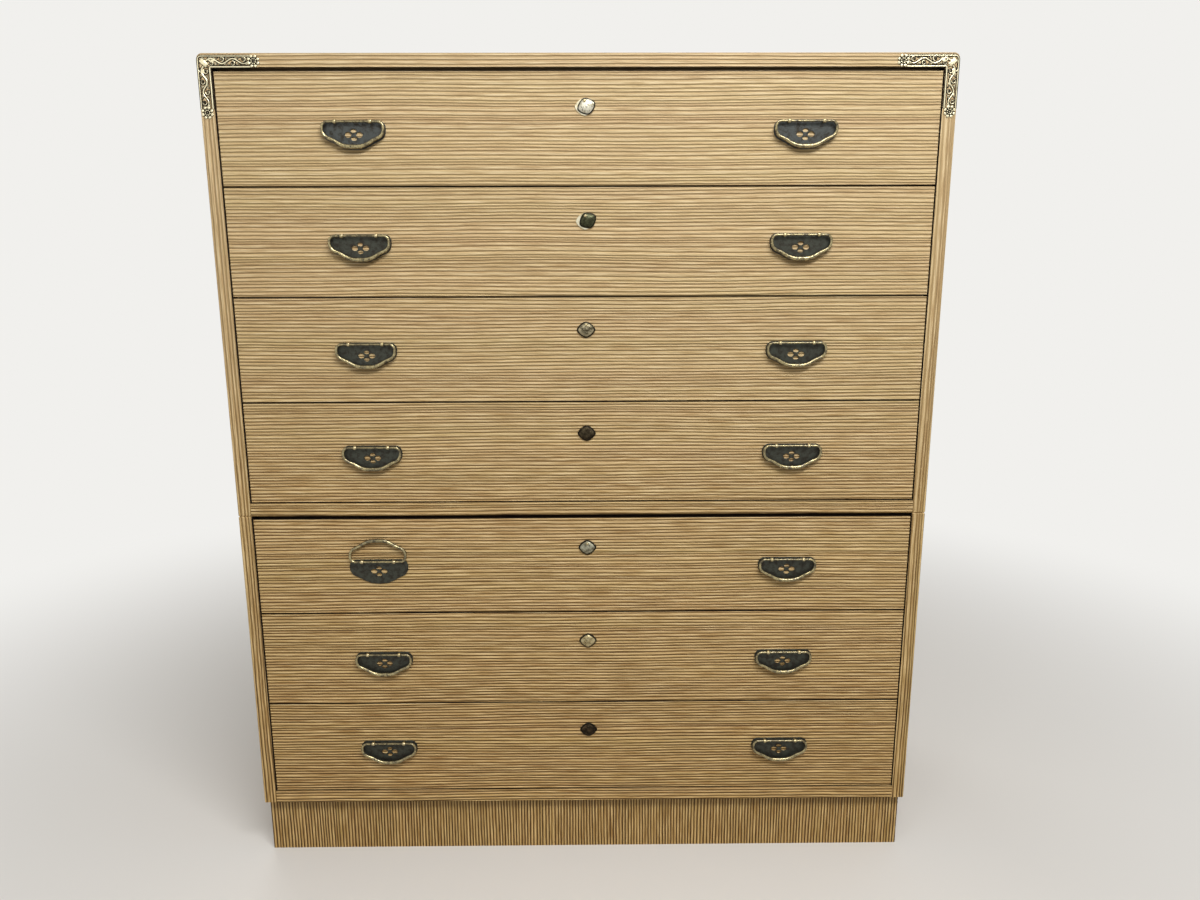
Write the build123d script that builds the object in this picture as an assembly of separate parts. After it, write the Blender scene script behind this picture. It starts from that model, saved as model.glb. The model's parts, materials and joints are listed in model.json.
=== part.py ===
"""Two-part stacking clothing chest with seven drawers, bail handles and keyhole covers.

The upper case holds four drawers and lifts off the lower case, which holds three and stands on a
plinth. Every drawer has the same front and box. A drawer rides on the thin board below it, and its
front laps over the front edges of the boards above and below, which stop it when it is closed.
Frame: +Z up, the drawers open towards -Y, and the origin is on the floor in the middle of the
overall width and depth, handles included. Lengths are in millimetres.
"""

from build123d import *
import math
import os

# ---- cases -------------------------------------------------------------------------------------
WIDTH = 1050.0  # over the side panels
DEPTH = 440.0  # front edges of the case to its back
SIDE_T = 20.0  # side panels
TOP_T = 18.0  # top board of the upper case
BOTTOM_T = 20.0  # bottom boards, whose front edges show as rails
BOARD_T = 9.0  # dust boards between the drawers
BACK_T = 5.0  # back panels
DADO = 6.0  # depth of the grooves that hold the boards in the side panels
REBATE = 5.0  # step that the back panels sit in
CORNER_R = 8.0  # rounding of the two top corners, seen from the front
EDGE_CHAMFER = 1.2  # bevel on the front edges of the cases
SEAM_CHAMFER = 1.5  # bevel round the joint of the two cases
BATTEN_D = 60.0  # depth of the batten under the top board
DOWEL_R = 5.0  # locating dowels between the cases
DOWEL_RISE = 12.0  # how far a dowel stands above the lower case
DOWEL_SINK = 20.0  # how deep a dowel is glued into the lower side panel
DOWEL_CLEAR = 0.3  # free play of a dowel in the upper case
DOWEL_FROM_EDGE = 60.0  # dowel axis to the case's front and back edges
PLINTH_H = 95.0
PLINTH_T = 18.0
PLINTH_SETBACK = 15.0  # plinth behind the case's front edges
PLINTH_INSET = 3.0  # plinth inside the case's sides
PLINTH_BLOCK = 40.0  # corner blocks glued inside the plinth

# ---- drawers -----------------------------------------------------------------------------------
UPPER_DRAWERS = 4
LOWER_DRAWERS = 3
FRONT_H = 151.6
FRONT_T = 20.0
FRONT_GAP = 2.2  # between one front and the next
FRONT_SIDE_GAP = 1.5  # between a front and the side panels
FRONT_RECESS = 1.0  # fronts behind the front edges of the case
FLOOR_GAP = 2.0  # under the lowest front of a case
FRONT_CHAMFER = 0.8
BOX_T = 12.0  # sides and back of a drawer box
BOX_BOTTOM_T = 5.0
BOX_TOP_CLEAR = 2.5  # above the box
BOX_BACK_CLEAR = 14.0  # behind the box
BOX_BOTTOM_RISE = 6.0  # drawer bottom above the sliding edges
BOX_GROOVE = 5.0  # depth of the groove round the drawer bottom
BOX_LAP = 10.0  # how far the box sides are let into the front
BOX_BACK_DROP = 6.0  # box back below the box sides
RUNNER_W = 40.0  # runner strips on the bottom boards

# ---- bail handles ------------------------------------------------------------------------------
HANDLE_INSET = 188.0  # middle of a handle from the end of the drawer front
HANDLE_DROP = 66.3  # bail axis below the top edge of the front
BAIL_SIDES = 8  # flats of the forged bail
BAIL_END_R = 1.6  # the bail's section at its bar, as a radius over the corners
BAIL_CHEEK_R = 2.4  # at its cheeks
BAIL_R = 3.3  # at its lowest point, where it is thickest
BAIL_CHEEK_AT = 0.22  # the cheeks, as a share of the way round
BAIL_BAR_R = 1.5  # its straight round bar, which turns in the eyes
BAIL_BAR_HALF = 28.0  # half length of that bar, to the shoulders
BAIL_HALF_W = 42.5  # centre line of the bail at its sides
BAIL_DEPTH = 33.3  # centre line of the bail at its lowest point
BAIL_CORNER_R = 8.0
BAIL_CHEEK = (-18.0, 12.0)  # z and rounding of the outline where the sides turn in
BAIL_WAIST = (27.5, -24.7, 30.0)  # x, z and rounding where the outline bends the other way
BAIL_HEEL = (13.5, 34.0)  # x and rounding where the outline meets the flat bottom
EYE_STAND = 6.6  # bail axis in front of the drawer front
EYE_R = 3.0
EYE_W = 4.5
EYE_X = 24.5  # eyes from the middle of the handle
EYE_CLEAR = 0.05  # bail bar in its eye
SHANK = (3.0, 2.8)  # split shank of an eye, width and height, through plate and front
SHANK_CLEAR = 0.2
SHANK_LEG = 10.0  # each half of the shank is bent over behind the front by this length
PLATE_T = 1.6
PLATE_MARGIN = 2.4  # back plate outside the bail's centre line
PLATE_DROP = 1.3  # extra length of the plate below the bail
PETAL_SIDE = (9.4, 7.6)  # length and width of the two side petals of the pierced flower
PETAL_UPRIGHT = (8.4, 5.4)  # length and width of the upper and lower petals
PETAL_SPREAD = (7.9, 5.3)  # middles of the petals from the middle of the flower, across and up
FLOWER_DROP = 17.0  # flower below the bail axis
BAIL_LIFT_GAP = 0.4  # between a raised bail and the drawer front
RAISED_DRAWER = 5  # the drawer whose left bail rests raised

# ---- locks -------------------------------------------------------------------------------------
LOCK_X = 6.5  # keyhole right of the middle
LOCK_DROP = 46.5  # keyhole plate below the top edge of the front
KEY_PLATE = (27.5, 24.0)  # diamond-shaped keyhole plate, across its corners
KEY_PLATE_T = 1.2
KEY_COVER = (26.5, 23.0)  # diamond-shaped cover, across its corners
KEY_COVER_SHOULDER = (18.5, 16.0)  # the cover at the shoulder of its dome
KEY_COVER_TIP = (8.0, 7.0)  # flat tip of the dome
KEY_COVER_RIM = 0.8
KEY_COVER_SHOULDER_RISE = 2.6
KEY_COVER_RISE = 3.8
KEY_COVER_GAP = 0.15  # between cover and plate
DIAMOND_ROUND = 0.45  # rounding of a diamond's corners, as a share of its half height
COVER_SWUNG = {1: 20.0, 2: 30.0}  # drawers whose covers rest pushed to the right, in degrees
COVER_PIVOT = 7.0  # cover's pin above the middle of the plate
COVER_PIN_R = 1.1
COVER_PIN_HEAD = (2.0, 0.9)  # radius and height
COVER_PIN_GAP = 0.1  # pin head in front of the cover
COVER_PIN_CLEAR = 0.05
KEYHOLE_R = 1.9
KEYHOLE_SLOT = (2.0, 6.0)  # width and length of the slot below
KEY_TUNNEL_R = 3.5  # hole for the key through the front
LOCK_CASE = (42.0, 10.0, 56.0)  # width, depth, height
LOCK_TOP_CLEAR = 3.0  # lock case below the board above
BOLT = (16.0, 4.0, 26.0)  # width, depth, height
BOLT_TRAVEL = 7.0
BOLT_CLEAR = 0.3
BOLT_CHAMFER = 0.8
BOLT_SUNK = 0.2  # drawn-back bolt below the top of the lock case
BOLT_BACK = 6.0  # middle of the bolt behind the drawer front
BOLT_MORTISE = (20.0, 6.0)  # slot in the board above, width and depth

# ---- corner mounts -----------------------------------------------------------------------------
MOUNT_LEG = (87.0, 84.0)  # along the top and down the side
MOUNT_W = (17.0, 19.0)  # width of the upper leg and of the upright leg
MOUNT_T = 1.2
MOUNT_LOBE_R = 4.0  # lobes of the flower that ends each leg
MOUNT_LOBE_RING = 4.6  # lobes from the middle of that flower
MOUNT_LOBES = 5
MOUNT_STEP = 1.0  # legs narrower than the corner piece, on either side
MOUNT_CELL = 15.0  # spacing of the pierced scrolls
MOUNT_DROP = (2.6, 8.5)  # drop-shaped opening in each scroll, radius and length of its tail
MOUNT_DROP_PLACE = (4.0, 2.4, -14.0)  # its place in the cell, along and across, and its lean
MOUNT_LEAF = (8.5, 3.4)  # length and width of the leaf-shaped opening
MOUNT_LEAF_PLACE = (5.2, -4.6, 6.0)  # its place in the cell, along and across, and its lean

# ---- derived heights and planes ----------------------------------------------------------------
LIP = (BOARD_T - FRONT_GAP) / 2  # a front laps a dust board by this much
CEILING_GAP = BOARD_T - LIP  # open gap above the first front of a case
PITCH = FRONT_H + FRONT_GAP
UPPER_OPENING = CEILING_GAP + UPPER_DRAWERS * PITCH - FRONT_GAP + FLOOR_GAP
LOWER_OPENING = CEILING_GAP + LOWER_DRAWERS * PITCH - FRONT_GAP + FLOOR_GAP
Z_SEAM = PLINTH_H + BOTTOM_T + LOWER_OPENING
HEIGHT = Z_SEAM + BOTTOM_T + UPPER_OPENING + TOP_T
DRAWERS = UPPER_DRAWERS + LOWER_DRAWERS

HANDLE_PROUD = EYE_STAND + BAIL_R - FRONT_RECESS  # handles in front of the case
Y_CASE = -(DEPTH - HANDLE_PROUD) / 2  # front edges of the case
Y_BACK = Y_CASE + DEPTH
Y_FACE = Y_CASE + FRONT_RECESS  # visible face of the drawer fronts
Y_STOP = Y_FACE + FRONT_T  # back of the fronts, and front edges of the dust boards
Y_BOX_END = Y_BACK - BACK_T - BOX_BACK_CLEAR

X_OUT = WIDTH / 2
X_IN = X_OUT - SIDE_T
DOWEL_X = (X_IN + DADO + X_OUT) / 2  # dowels stand between the grooves and the outside
FRONT_HALF = X_IN - FRONT_SIDE_GAP
BOX_LOW = LIP  # sliding edge of a box above the bottom edge of its front
BOX_HIGH = FRONT_H - LIP - BOX_TOP_CLEAR
RUNNER_T = FLOOR_GAP + LIP
BOLT_Y = Y_STOP + BOLT_BACK  # middle plane of the bolts
Y_COVER = Y_FACE - KEY_PLATE_T - KEY_COVER_GAP  # back of the keyhole covers

# A raised bail leans back past upright until its lowest point is just clear of the front.
BAIL_LEAN = math.degrees(math.asin((EYE_STAND - BAIL_R - BAIL_LIFT_GAP) / BAIL_DEPTH))
BAIL_SWING = 180.0 + BAIL_LEAN


def front_bottom(number):
    """Bottom edge of a drawer's front. Drawer 1 is the topmost one."""
    if number <= UPPER_DRAWERS:
        first_top = HEIGHT - TOP_T - CEILING_GAP
        step = number - 1
    else:
        first_top = Z_SEAM - CEILING_GAP
        step = number - 1 - UPPER_DRAWERS
    return first_top - FRONT_H - step * PITCH


def block(x0, x1, y0, y1, z0, z1):
    """A box between two corners."""
    return Pos((x0 + x1) / 2, (y0 + y1) / 2, (z0 + z1) / 2) * Box(x1 - x0, y1 - y0, z1 - z0)


def rod_along_x(radius, x0, x1, y, z):
    return Pos((x0 + x1) / 2, y, z) * Rot(0, 90, 0) * Cylinder(radius, x1 - x0)


def rod_along_y(radius, y0, y1, x, z):
    return Pos(x, (y0 + y1) / 2, z) * Rot(90, 0, 0) * Cylinder(radius, y1 - y0)


def rod_along_z(radius, z0, z1, x, y):
    return Pos(x, y, (z0 + z1) / 2) * Cylinder(radius, z1 - z0)


def upright(shape, x, y, z):
    """Stands a drawing in the XZ plane, seen from the front, with its face at y."""
    return Pos(x, y, z) * Rot(90, 0, 0) * shape


def one(shape):
    """The single solid of a shape."""
    solids = shape.solids()
    if len(solids) != 1:
        raise ValueError(f"expected one solid and got {len(solids)}")
    return solids[0]


def write(name, *pieces):
    """Writes a node, with each piece as its own solid."""
    solids = [one(piece) for piece in pieces]
    export_step(Compound(children=solids), f"parts/{name}.step")


# ---- cases -------------------------------------------------------------------------------------


def upper_envelope():
    """The upper case's outside: rounded top corners, bevelled front edges and seam."""
    middle = (Z_SEAM + HEIGHT) / 2
    outline = Pos(0, middle) * Rectangle(WIDTH, HEIGHT - Z_SEAM)
    outline = fillet(outline.vertices().group_by(Axis.Y)[-1], CORNER_R)
    body = upright(extrude(outline, -DEPTH), 0, Y_CASE, 0)
    front = body.faces().sort_by(Axis.Y)[0].edges()
    body = chamfer(front.sort_by(Axis.Z)[1:], EDGE_CHAMFER)
    return chamfer(body.faces().sort_by(Axis.Z)[0].edges(), SEAM_CHAMFER)


def lower_envelope():
    """The lower case's outside, bevelled at its front corners and at the seam."""
    body = block(-X_OUT, X_OUT, Y_CASE, Y_BACK, PLINTH_H, Z_SEAM)
    body = chamfer(body.edges().filter_by(Axis.Z).group_by(Axis.Y)[0], EDGE_CHAMFER)
    return chamfer(body.faces().sort_by(Axis.Z)[-1].edges(), SEAM_CHAMFER)


def side_panel(side, z0, z1, board_tops, mitred):
    """A side panel from z0 to z1. side is -1 for the left one and 1 for the right one."""
    inner_top = z1 - TOP_T if mitred else z1
    outline = Polyline((X_IN, z0), (X_OUT, z0), (X_OUT, z1), (X_IN, inner_top), close=True)
    panel = upright(extrude(make_face(outline), -DEPTH), 0, Y_CASE, 0)
    panel &= upper_envelope() if mitred else lower_envelope()
    for top in board_tops:
        panel -= block(X_IN - 1, X_IN + DADO, Y_STOP, Y_BACK + 1, top - BOARD_T, top)
    tongue_z = z0 + (BOTTOM_T - BOARD_T) / 2
    panel -= block(X_IN - 1, X_IN + DADO, Y_STOP, Y_BACK + 1, tongue_z, tongue_z + BOARD_T)
    back_top = inner_top + REBATE if mitred else z1 - BOARD_T + REBATE
    back_low = z0 + BOTTOM_T - REBATE
    panel -= block(X_IN - 1, X_IN + REBATE, Y_BACK - BACK_T, Y_BACK + 1, back_low, back_top)
    for y in dowel_rows():
        if mitred:
            panel -= rod_along_z(DOWEL_R + DOWEL_CLEAR, z0 - 1, z0 + DOWEL_RISE + 1, DOWEL_X, y)
        else:
            panel -= rod_along_z(DOWEL_R, z1 - DOWEL_SINK, z1 + 1, DOWEL_X, y)
    return panel if side > 0 else mirror(panel, about=Plane.YZ)


def top_board():
    """The top board of the upper case, mitred to the side panels."""
    z0 = HEIGHT - TOP_T
    outline = Polyline((-X_IN, z0), (X_IN, z0), (X_OUT, HEIGHT), (-X_OUT, HEIGHT), close=True)
    board = upright(extrude(make_face(outline), -DEPTH), 0, Y_CASE, 0) & upper_envelope()
    half = X_IN + REBATE
    return board - block(-half, half, Y_BACK - BACK_T, Y_BACK + 1, z0 - 1, z0 + REBATE)


def bolt_mortise(z0, z1):
    """Slot that a lock bolt rises into."""
    half_w, half_d = BOLT_MORTISE[0] / 2, BOLT_MORTISE[1] / 2
    return block(LOCK_X - half_w, LOCK_X + half_w, BOLT_Y - half_d, BOLT_Y + half_d, z0, z1)


def dust_board(top):
    """A thin board between two drawers, housed in both side panels."""
    board = block(-X_IN - DADO, X_IN + DADO, Y_STOP, Y_BACK - BACK_T, top - BOARD_T, top)
    return board - bolt_mortise(top - BOARD_T - 1, top + 1)


def ceiling_batten():
    """Batten under the top board, which closes the gap above the first drawer."""
    z1 = HEIGHT - TOP_T
    batten = block(-X_IN, X_IN, Y_STOP, Y_STOP + BATTEN_D, z1 - BOARD_T, z1)
    return batten - bolt_mortise(z1 - BOARD_T - 1, z1 + 1)


def lower_top_board():
    """The lower case's top board, with a step for its back panel."""
    lip = block(-X_IN, X_IN, Y_BACK - BACK_T - 1, Y_BACK, Z_SEAM - BOARD_T + REBATE, Z_SEAM)
    return (dust_board(Z_SEAM) + lip) & lower_envelope()


def bottom_board(z0, envelope):
    """A bottom board with its front edge between the side panels and a tongue at each end."""
    tongue_z = z0 + (BOTTOM_T - BOARD_T) / 2
    reach = X_IN + DADO
    board = block(-X_IN, X_IN, Y_CASE, Y_BACK, z0, z0 + BOTTOM_T) & envelope
    board += block(-reach, reach, Y_STOP, Y_BACK - BACK_T, tongue_z, tongue_z + BOARD_T)
    return board - block(-X_IN, X_IN, Y_BACK - BACK_T, Y_BACK + 1, z0 + BOTTOM_T - REBATE, z0 + BOTTOM_T + 1)


def runner(side, z0):
    """Strip on a bottom board that the lowest drawer slides on."""
    strip = block(X_IN - RUNNER_W, X_IN, Y_STOP, Y_BACK - BACK_T, z0, z0 + RUNNER_T)
    return strip if side > 0 else mirror(strip, about=Plane.YZ)


def back_panel(bottom_z, top_z):
    half = X_IN + REBATE
    return block(-half, half, Y_BACK - BACK_T, Y_BACK, bottom_z, top_z)


def dowel_rows():
    """Where the dowels stand, front to back."""
    return (Y_CASE + DOWEL_FROM_EDGE, Y_BACK - DOWEL_FROM_EDGE)


def dowel(side, y):
    pin = rod_along_z(DOWEL_R, Z_SEAM - DOWEL_SINK, Z_SEAM + DOWEL_RISE, side * DOWEL_X, y)
    return chamfer(pin.edges().group_by(Axis.Z)[-1], 1.0)


def plinth_boards():
    """Four mitred boards with a block in each corner."""
    half = X_OUT - PLINTH_INSET
    reach = half - PLINTH_T
    y0 = Y_CASE + PLINTH_SETBACK
    y1 = Y_BACK - PLINTH_INSET
    y0_in, y1_in = y0 + PLINTH_T, y1 - PLINTH_T
    front = Polyline((-half, y0), (half, y0), (reach, y0_in), (-reach, y0_in), close=True)
    back = Polyline((-half, y1), (half, y1), (reach, y1_in), (-reach, y1_in), close=True)
    right = Polyline((half, y0), (half, y1), (reach, y1_in), (reach, y0_in), close=True)
    boards = [extrude(make_face(line), PLINTH_H, dir=(0, 0, 1)) for line in (front, back, right)]
    boards.append(mirror(boards[-1], about=Plane.YZ))
    for side in (-1, 1):
        for y in (y0_in, y1_in - PLINTH_BLOCK):
            x0 = reach - PLINTH_BLOCK if side > 0 else -reach
            boards.append(block(x0, x0 + PLINTH_BLOCK, y, y + PLINTH_BLOCK, 0, PLINTH_H))
    return boards


# ---- drawers -----------------------------------------------------------------------------------


def drawer_front(z0):
    """A drawer front, grooved for the bottom, lapped for the box sides and bored for the fittings."""
    front = block(-FRONT_HALF, FRONT_HALF, Y_FACE, Y_STOP, z0, z0 + FRONT_H)
    front = chamfer(front.faces().sort_by(Axis.Y)[0].edges(), FRONT_CHAMFER)
    groove_z = z0 + BOX_LOW + BOX_BOTTOM_RISE
    reach = FRONT_HALF - BOX_T
    front -= block(-reach, reach, Y_STOP - BOX_GROOVE, Y_STOP + 1, groove_z, groove_z + BOX_BOTTOM_T)
    for x0 in (-FRONT_HALF - 1, reach):
        x1 = x0 + BOX_T + 1
        front -= block(x0, x1, Y_STOP - BOX_LAP, Y_STOP + 1, z0 + BOX_LOW, z0 + BOX_HIGH)
    for x, z in eye_places(z0):
        front -= shank_block(SHANK_CLEAR, Y_FACE - 1, Y_STOP + 1, x, z)
    return front - rod_along_y(KEY_TUNNEL_R, Y_FACE - 1, Y_STOP + 1, LOCK_X, z0 + FRONT_H - LOCK_DROP)


def box_side(side, z0):
    outer = FRONT_HALF
    inner = outer - BOX_T
    groove_z = z0 + BOX_LOW + BOX_BOTTOM_RISE
    y0 = Y_STOP - BOX_LAP
    board = block(inner, outer, y0, Y_BOX_END, z0 + BOX_LOW, z0 + BOX_HIGH)
    groove = (inner - 1, inner + BOX_GROOVE, y0 - 1, Y_BOX_END + 1, groove_z, groove_z + BOX_BOTTOM_T)
    board -= block(*groove)
    return board if side > 0 else mirror(board, about=Plane.YZ)


def box_back(z0):
    inner = FRONT_HALF - BOX_T
    low = z0 + BOX_LOW + BOX_BOTTOM_RISE + BOX_BOTTOM_T
    return block(-inner, inner, Y_BOX_END - BOX_T, Y_BOX_END, low, z0 + BOX_HIGH - BOX_BACK_DROP)


def box_bottom(z0):
    """The drawer bottom, in the grooves of the front and sides and under the back."""
    inner = FRONT_HALF - BOX_T
    low = z0 + BOX_LOW + BOX_BOTTOM_RISE
    panel = block(-inner - BOX_GROOVE, inner + BOX_GROOVE, Y_STOP, Y_BOX_END, low, low + BOX_BOTTOM_T)
    return panel + block(-inner, inner, Y_STOP - BOX_GROOVE, Y_STOP + 1, low, low + BOX_BOTTOM_T)


# ---- bail handles ------------------------------------------------------------------------------


def handle_centres():
    reach = FRONT_HALF - HANDLE_INSET
    return (-reach, reach)


def eye_places(z0):
    """Where the shanks of a drawer's four eyes go through its front."""
    z = z0 + FRONT_H - HANDLE_DROP
    return [(centre + side * EYE_X, z) for centre in handle_centres() for side in (-1, 1)]


def handle_corners(drop):
    """Corners and roundings of the bail's outline, with its lower corners moved down by drop."""
    corner = (BAIL_HALF_W, 0.0, BAIL_CORNER_R)
    cheek = (BAIL_HALF_W, BAIL_CHEEK[0] - drop, BAIL_CHEEK[1])
    waist = (BAIL_WAIST[0], BAIL_WAIST[1] - drop, BAIL_WAIST[2])
    heel = (BAIL_HEEL[0], -BAIL_DEPTH - drop, BAIL_HEEL[1])
    right = [corner, cheek, waist, heel]
    return [(-x, z, r) for x, z, r in right] + right[::-1]


def bail_line():
    """The bail's centre line from one end of its bar round to the other, seen from the front."""
    corners = handle_corners(0.0)
    ends = [(-BAIL_BAR_HALF, 0.0), (BAIL_BAR_HALF, 0.0)]
    points = [ends[0]] + [(x, z) for x, z, _ in corners] + [ends[1]]
    return FilletPolyline(*points, radius=[r for _, _, r in corners])


def bail(x, z0, raised):
    """A closed bail: a forged loop, thickest at the bottom, with a round bar that turns in two eyes."""
    line = bail_line()
    radii = ((0.0, BAIL_END_R), (BAIL_CHEEK_AT, BAIL_CHEEK_R), (0.5, BAIL_R))
    radii += ((1 - BAIL_CHEEK_AT, BAIL_CHEEK_R), (1.0, BAIL_END_R))
    sections = []
    for share, radius in radii:
        plane = Plane(origin=line @ share, x_dir=(0, 0, 1), z_dir=line % share)
        sections.append(plane * RegularPolygon(radius, BAIL_SIDES))
    loop = sweep(sections, path=line, multisection=True)
    bar = Rot(0, 90, 0) * Cylinder(BAIL_BAR_R, 2 * BAIL_BAR_HALF)
    ring = Rot(90, 0, 0) * (loop + bar)
    angle = -BAIL_SWING if raised else 0.0
    return Pos(x, Y_FACE - EYE_STAND, z0 + FRONT_H - HANDLE_DROP) * Rot(angle, 0, 0) * ring


def petal(length, width):
    """A petal between two arcs, along x and with its middle at the origin."""
    upper = ThreePointArc((-length / 2, 0), (0, width / 2), (length / 2, 0))
    lower = ThreePointArc((length / 2, 0), (0, -width / 2), (-length / 2, 0))
    return make_face([upper, lower])


def back_plate(x, z0):
    """Back plate in the outline of its bail, pierced with a four-petalled flower."""
    z = z0 + FRONT_H - HANDLE_DROP
    corners = handle_corners(PLATE_DROP)
    points = [(across, up) for across, up, _ in corners]
    line = FilletPolyline(*points, radius=[r for _, _, r in corners], close=True)
    outline = offset(make_face(line), amount=PLATE_MARGIN)
    spread_x, spread_z = PETAL_SPREAD
    for side in (-1, 1):
        outline -= Pos(side * spread_x, -FLOWER_DROP) * petal(*PETAL_SIDE)
        outline -= Pos(0, side * spread_z - FLOWER_DROP) * petal(*PETAL_UPRIGHT)
    plate = upright(extrude(outline, PLATE_T), x, Y_FACE, z)
    for eye_x in (x - EYE_X, x + EYE_X):
        plate -= shank_block(SHANK_CLEAR, Y_FACE - PLATE_T - 1, Y_FACE + 1, eye_x, z)
    return plate


def shank_block(clearance, y0, y1, x, z):
    """A block of an eye's shank from y0 to y1, with a clearance round it."""
    half_w = SHANK[0] / 2 + clearance
    half_h = SHANK[1] / 2 + clearance
    return block(x - half_w, x + half_w, y0, y1, z - half_h, z + half_h)


def split_eye(x, z):
    """An eye on a split shank, whose two halves are bent over behind the drawer front."""
    y = Y_FACE - EYE_STAND
    half_w = SHANK[0] / 2
    eye = rod_along_x(EYE_R, x - EYE_W / 2, x + EYE_W / 2, y, z)
    shank = shank_block(0.0, y, Y_STOP, x, z)
    legs = block(x - half_w, x + half_w, Y_STOP, Y_STOP + SHANK[1] / 2, z - SHANK_LEG, z + SHANK_LEG)
    return eye + shank + legs - rod_along_x(BAIL_BAR_R + EYE_CLEAR, x - EYE_W, x + EYE_W, y, z)


# ---- locks -------------------------------------------------------------------------------------


def diamond(size):
    """A diamond with rounded corners, of this size across its corners in x and y."""
    half_x, half_y = size[0] / 2, size[1] / 2
    rounding = half_y * DIAMOND_ROUND
    reach_x, reach_y = half_x - rounding, half_y - rounding
    corners = [(reach_x, 0), (0, reach_y), (-reach_x, 0), (0, -reach_y)]
    edges = [(Pos(x, y) * Circle(rounding)).edge() for x, y in corners]
    return make_hull(edges)


def key_plate(z):
    """Keyhole plate with the pin that its cover hangs from."""
    slot_w, slot_l = KEYHOLE_SLOT
    outline = diamond(KEY_PLATE) - Circle(KEYHOLE_R)
    outline -= Pos(0, -slot_l / 2) * Rectangle(slot_w, slot_l)
    plate = upright(extrude(outline, KEY_PLATE_T), LOCK_X, Y_FACE, z)
    head_r, head_h = COVER_PIN_HEAD
    y_head = Y_COVER - KEY_COVER_RISE - COVER_PIN_GAP
    pin = rod_along_y(COVER_PIN_R, y_head, Y_FACE - KEY_PLATE_T / 2, LOCK_X, z + COVER_PIVOT)
    head = rod_along_y(head_r, y_head - head_h, y_head, LOCK_X, z + COVER_PIVOT)
    return plate + pin + head


def key_cover(z, swung):
    """A domed four-sided cover that hangs over the keyhole, or swung to the right about its pin."""
    low = Pos(0, 0, KEY_COVER_RIM) * diamond(KEY_COVER)
    shoulder = Pos(0, 0, KEY_COVER_SHOULDER_RISE) * diamond(KEY_COVER_SHOULDER)
    tip = Pos(0, 0, KEY_COVER_RISE) * diamond(KEY_COVER_TIP)
    cover = extrude(diamond(KEY_COVER), KEY_COVER_RIM) + loft([low, shoulder, tip], ruled=True)
    cover -= Pos(0, COVER_PIVOT, 0) * Cylinder(COVER_PIN_R + COVER_PIN_CLEAR, 4 * KEY_COVER_RISE)
    cover = Pos(0, COVER_PIVOT) * Rot(0, 0, swung) * Pos(0, -COVER_PIVOT) * cover
    return upright(cover, LOCK_X, Y_COVER, z)


def lock_top(z0):
    return z0 + FRONT_H - LIP - LOCK_TOP_CLEAR


def lock_case(z0):
    """Lock case behind the front, with the channel that its bolt slides in."""
    width, depth, height = LOCK_CASE
    top = lock_top(z0)
    case = block(LOCK_X - width / 2, LOCK_X + width / 2, Y_STOP, Y_STOP + depth, top - height, top)
    channel_low = top - BOLT_SUNK - BOLT[2] - BOLT_CLEAR
    return case - bolt_block(BOLT_CLEAR, channel_low, top + 1)


def bolt_block(clearance, low, high):
    """A block of the bolt's section from low to high, with a clearance round it."""
    half_w = BOLT[0] / 2 + clearance
    half_d = BOLT[1] / 2 + clearance
    return block(LOCK_X - half_w, LOCK_X + half_w, BOLT_Y - half_d, BOLT_Y + half_d, low, high)


def lock_bolt(z0):
    """The bolt, drawn back into its case."""
    top = lock_top(z0) - BOLT_SUNK
    bolt = bolt_block(0.0, top - BOLT[2], top)
    return chamfer(bolt.faces().sort_by(Axis.Z)[-1].edges(), BOLT_CHAMFER)


# ---- corner mounts -----------------------------------------------------------------------------


def flower_end(x, y):
    """A five-lobed flower that finishes a leg of a corner mount."""
    flower = Circle(MOUNT_LOBE_RING)
    for index in range(MOUNT_LOBES):
        flower += Rot(0, 0, index * 360 / MOUNT_LOBES) * Pos(MOUNT_LOBE_RING, 0) * Circle(MOUNT_LOBE_R)
    return Pos(x, y) * flower


def drop_opening():
    """A drop: a round head at the origin with a tail that runs out along x."""
    radius, tail = MOUNT_DROP
    tangent = math.acos(radius / tail)
    x, y = radius * math.cos(tangent), radius * math.sin(tangent)
    head = ThreePointArc((x, y), (-radius, 0), (x, -y))
    return make_face([head, Polyline((x, -y), (tail, 0), (x, y))])


def scrolls(length):
    """Openings of one leg along x: a drop and a leaf in each cell, which change sides."""
    cells = int((length - MOUNT_LOBE_RING - MOUNT_LOBE_R) // MOUNT_CELL)
    openings = []
    for index in range(1, cells):
        side = 1 if index % 2 else -1
        for shape, place in ((drop_opening(), MOUNT_DROP_PLACE), (petal(*MOUNT_LEAF), MOUNT_LEAF_PLACE)):
            along, across, lean = place
            openings.append(Pos(index * MOUNT_CELL + along, side * across) * Rot(0, 0, side * lean) * shape)
    return openings


def corner_mount(side):
    """L-shaped pierced mount on the front edge of a top corner."""
    across, down = MOUNT_LEG
    top_w, side_w = MOUNT_W
    flower = MOUNT_LOBE_RING + MOUNT_LOBE_R
    top_y, side_x = -top_w / 2, side_w / 2
    top_leg = Pos((across - flower) / 2, top_y) * Rectangle(across - flower, top_w - 2 * MOUNT_STEP)
    side_leg = Pos(side_x, (flower - down) / 2) * Rectangle(side_w - 2 * MOUNT_STEP, down - flower)
    corner = Pos(side_x, top_y) * Rectangle(side_w, top_w)
    shape = top_leg + side_leg + corner
    shape += flower_end(across - flower, top_y) + flower_end(side_x, flower - down)
    for opening in scrolls(across):
        shape -= Pos(0, top_y) * opening
    for opening in scrolls(down):
        shape -= Pos(side_x, 0) * Rot(0, 0, -90) * opening
    plate = upright(extrude(shape, MOUNT_T), -X_OUT, Y_CASE, HEIGHT)
    plate &= Pos(0, -MOUNT_T, 0) * upper_envelope()
    return plate if side < 0 else mirror(plate, about=Plane.YZ)


# ---- the whole chest ---------------------------------------------------------------------------


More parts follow.
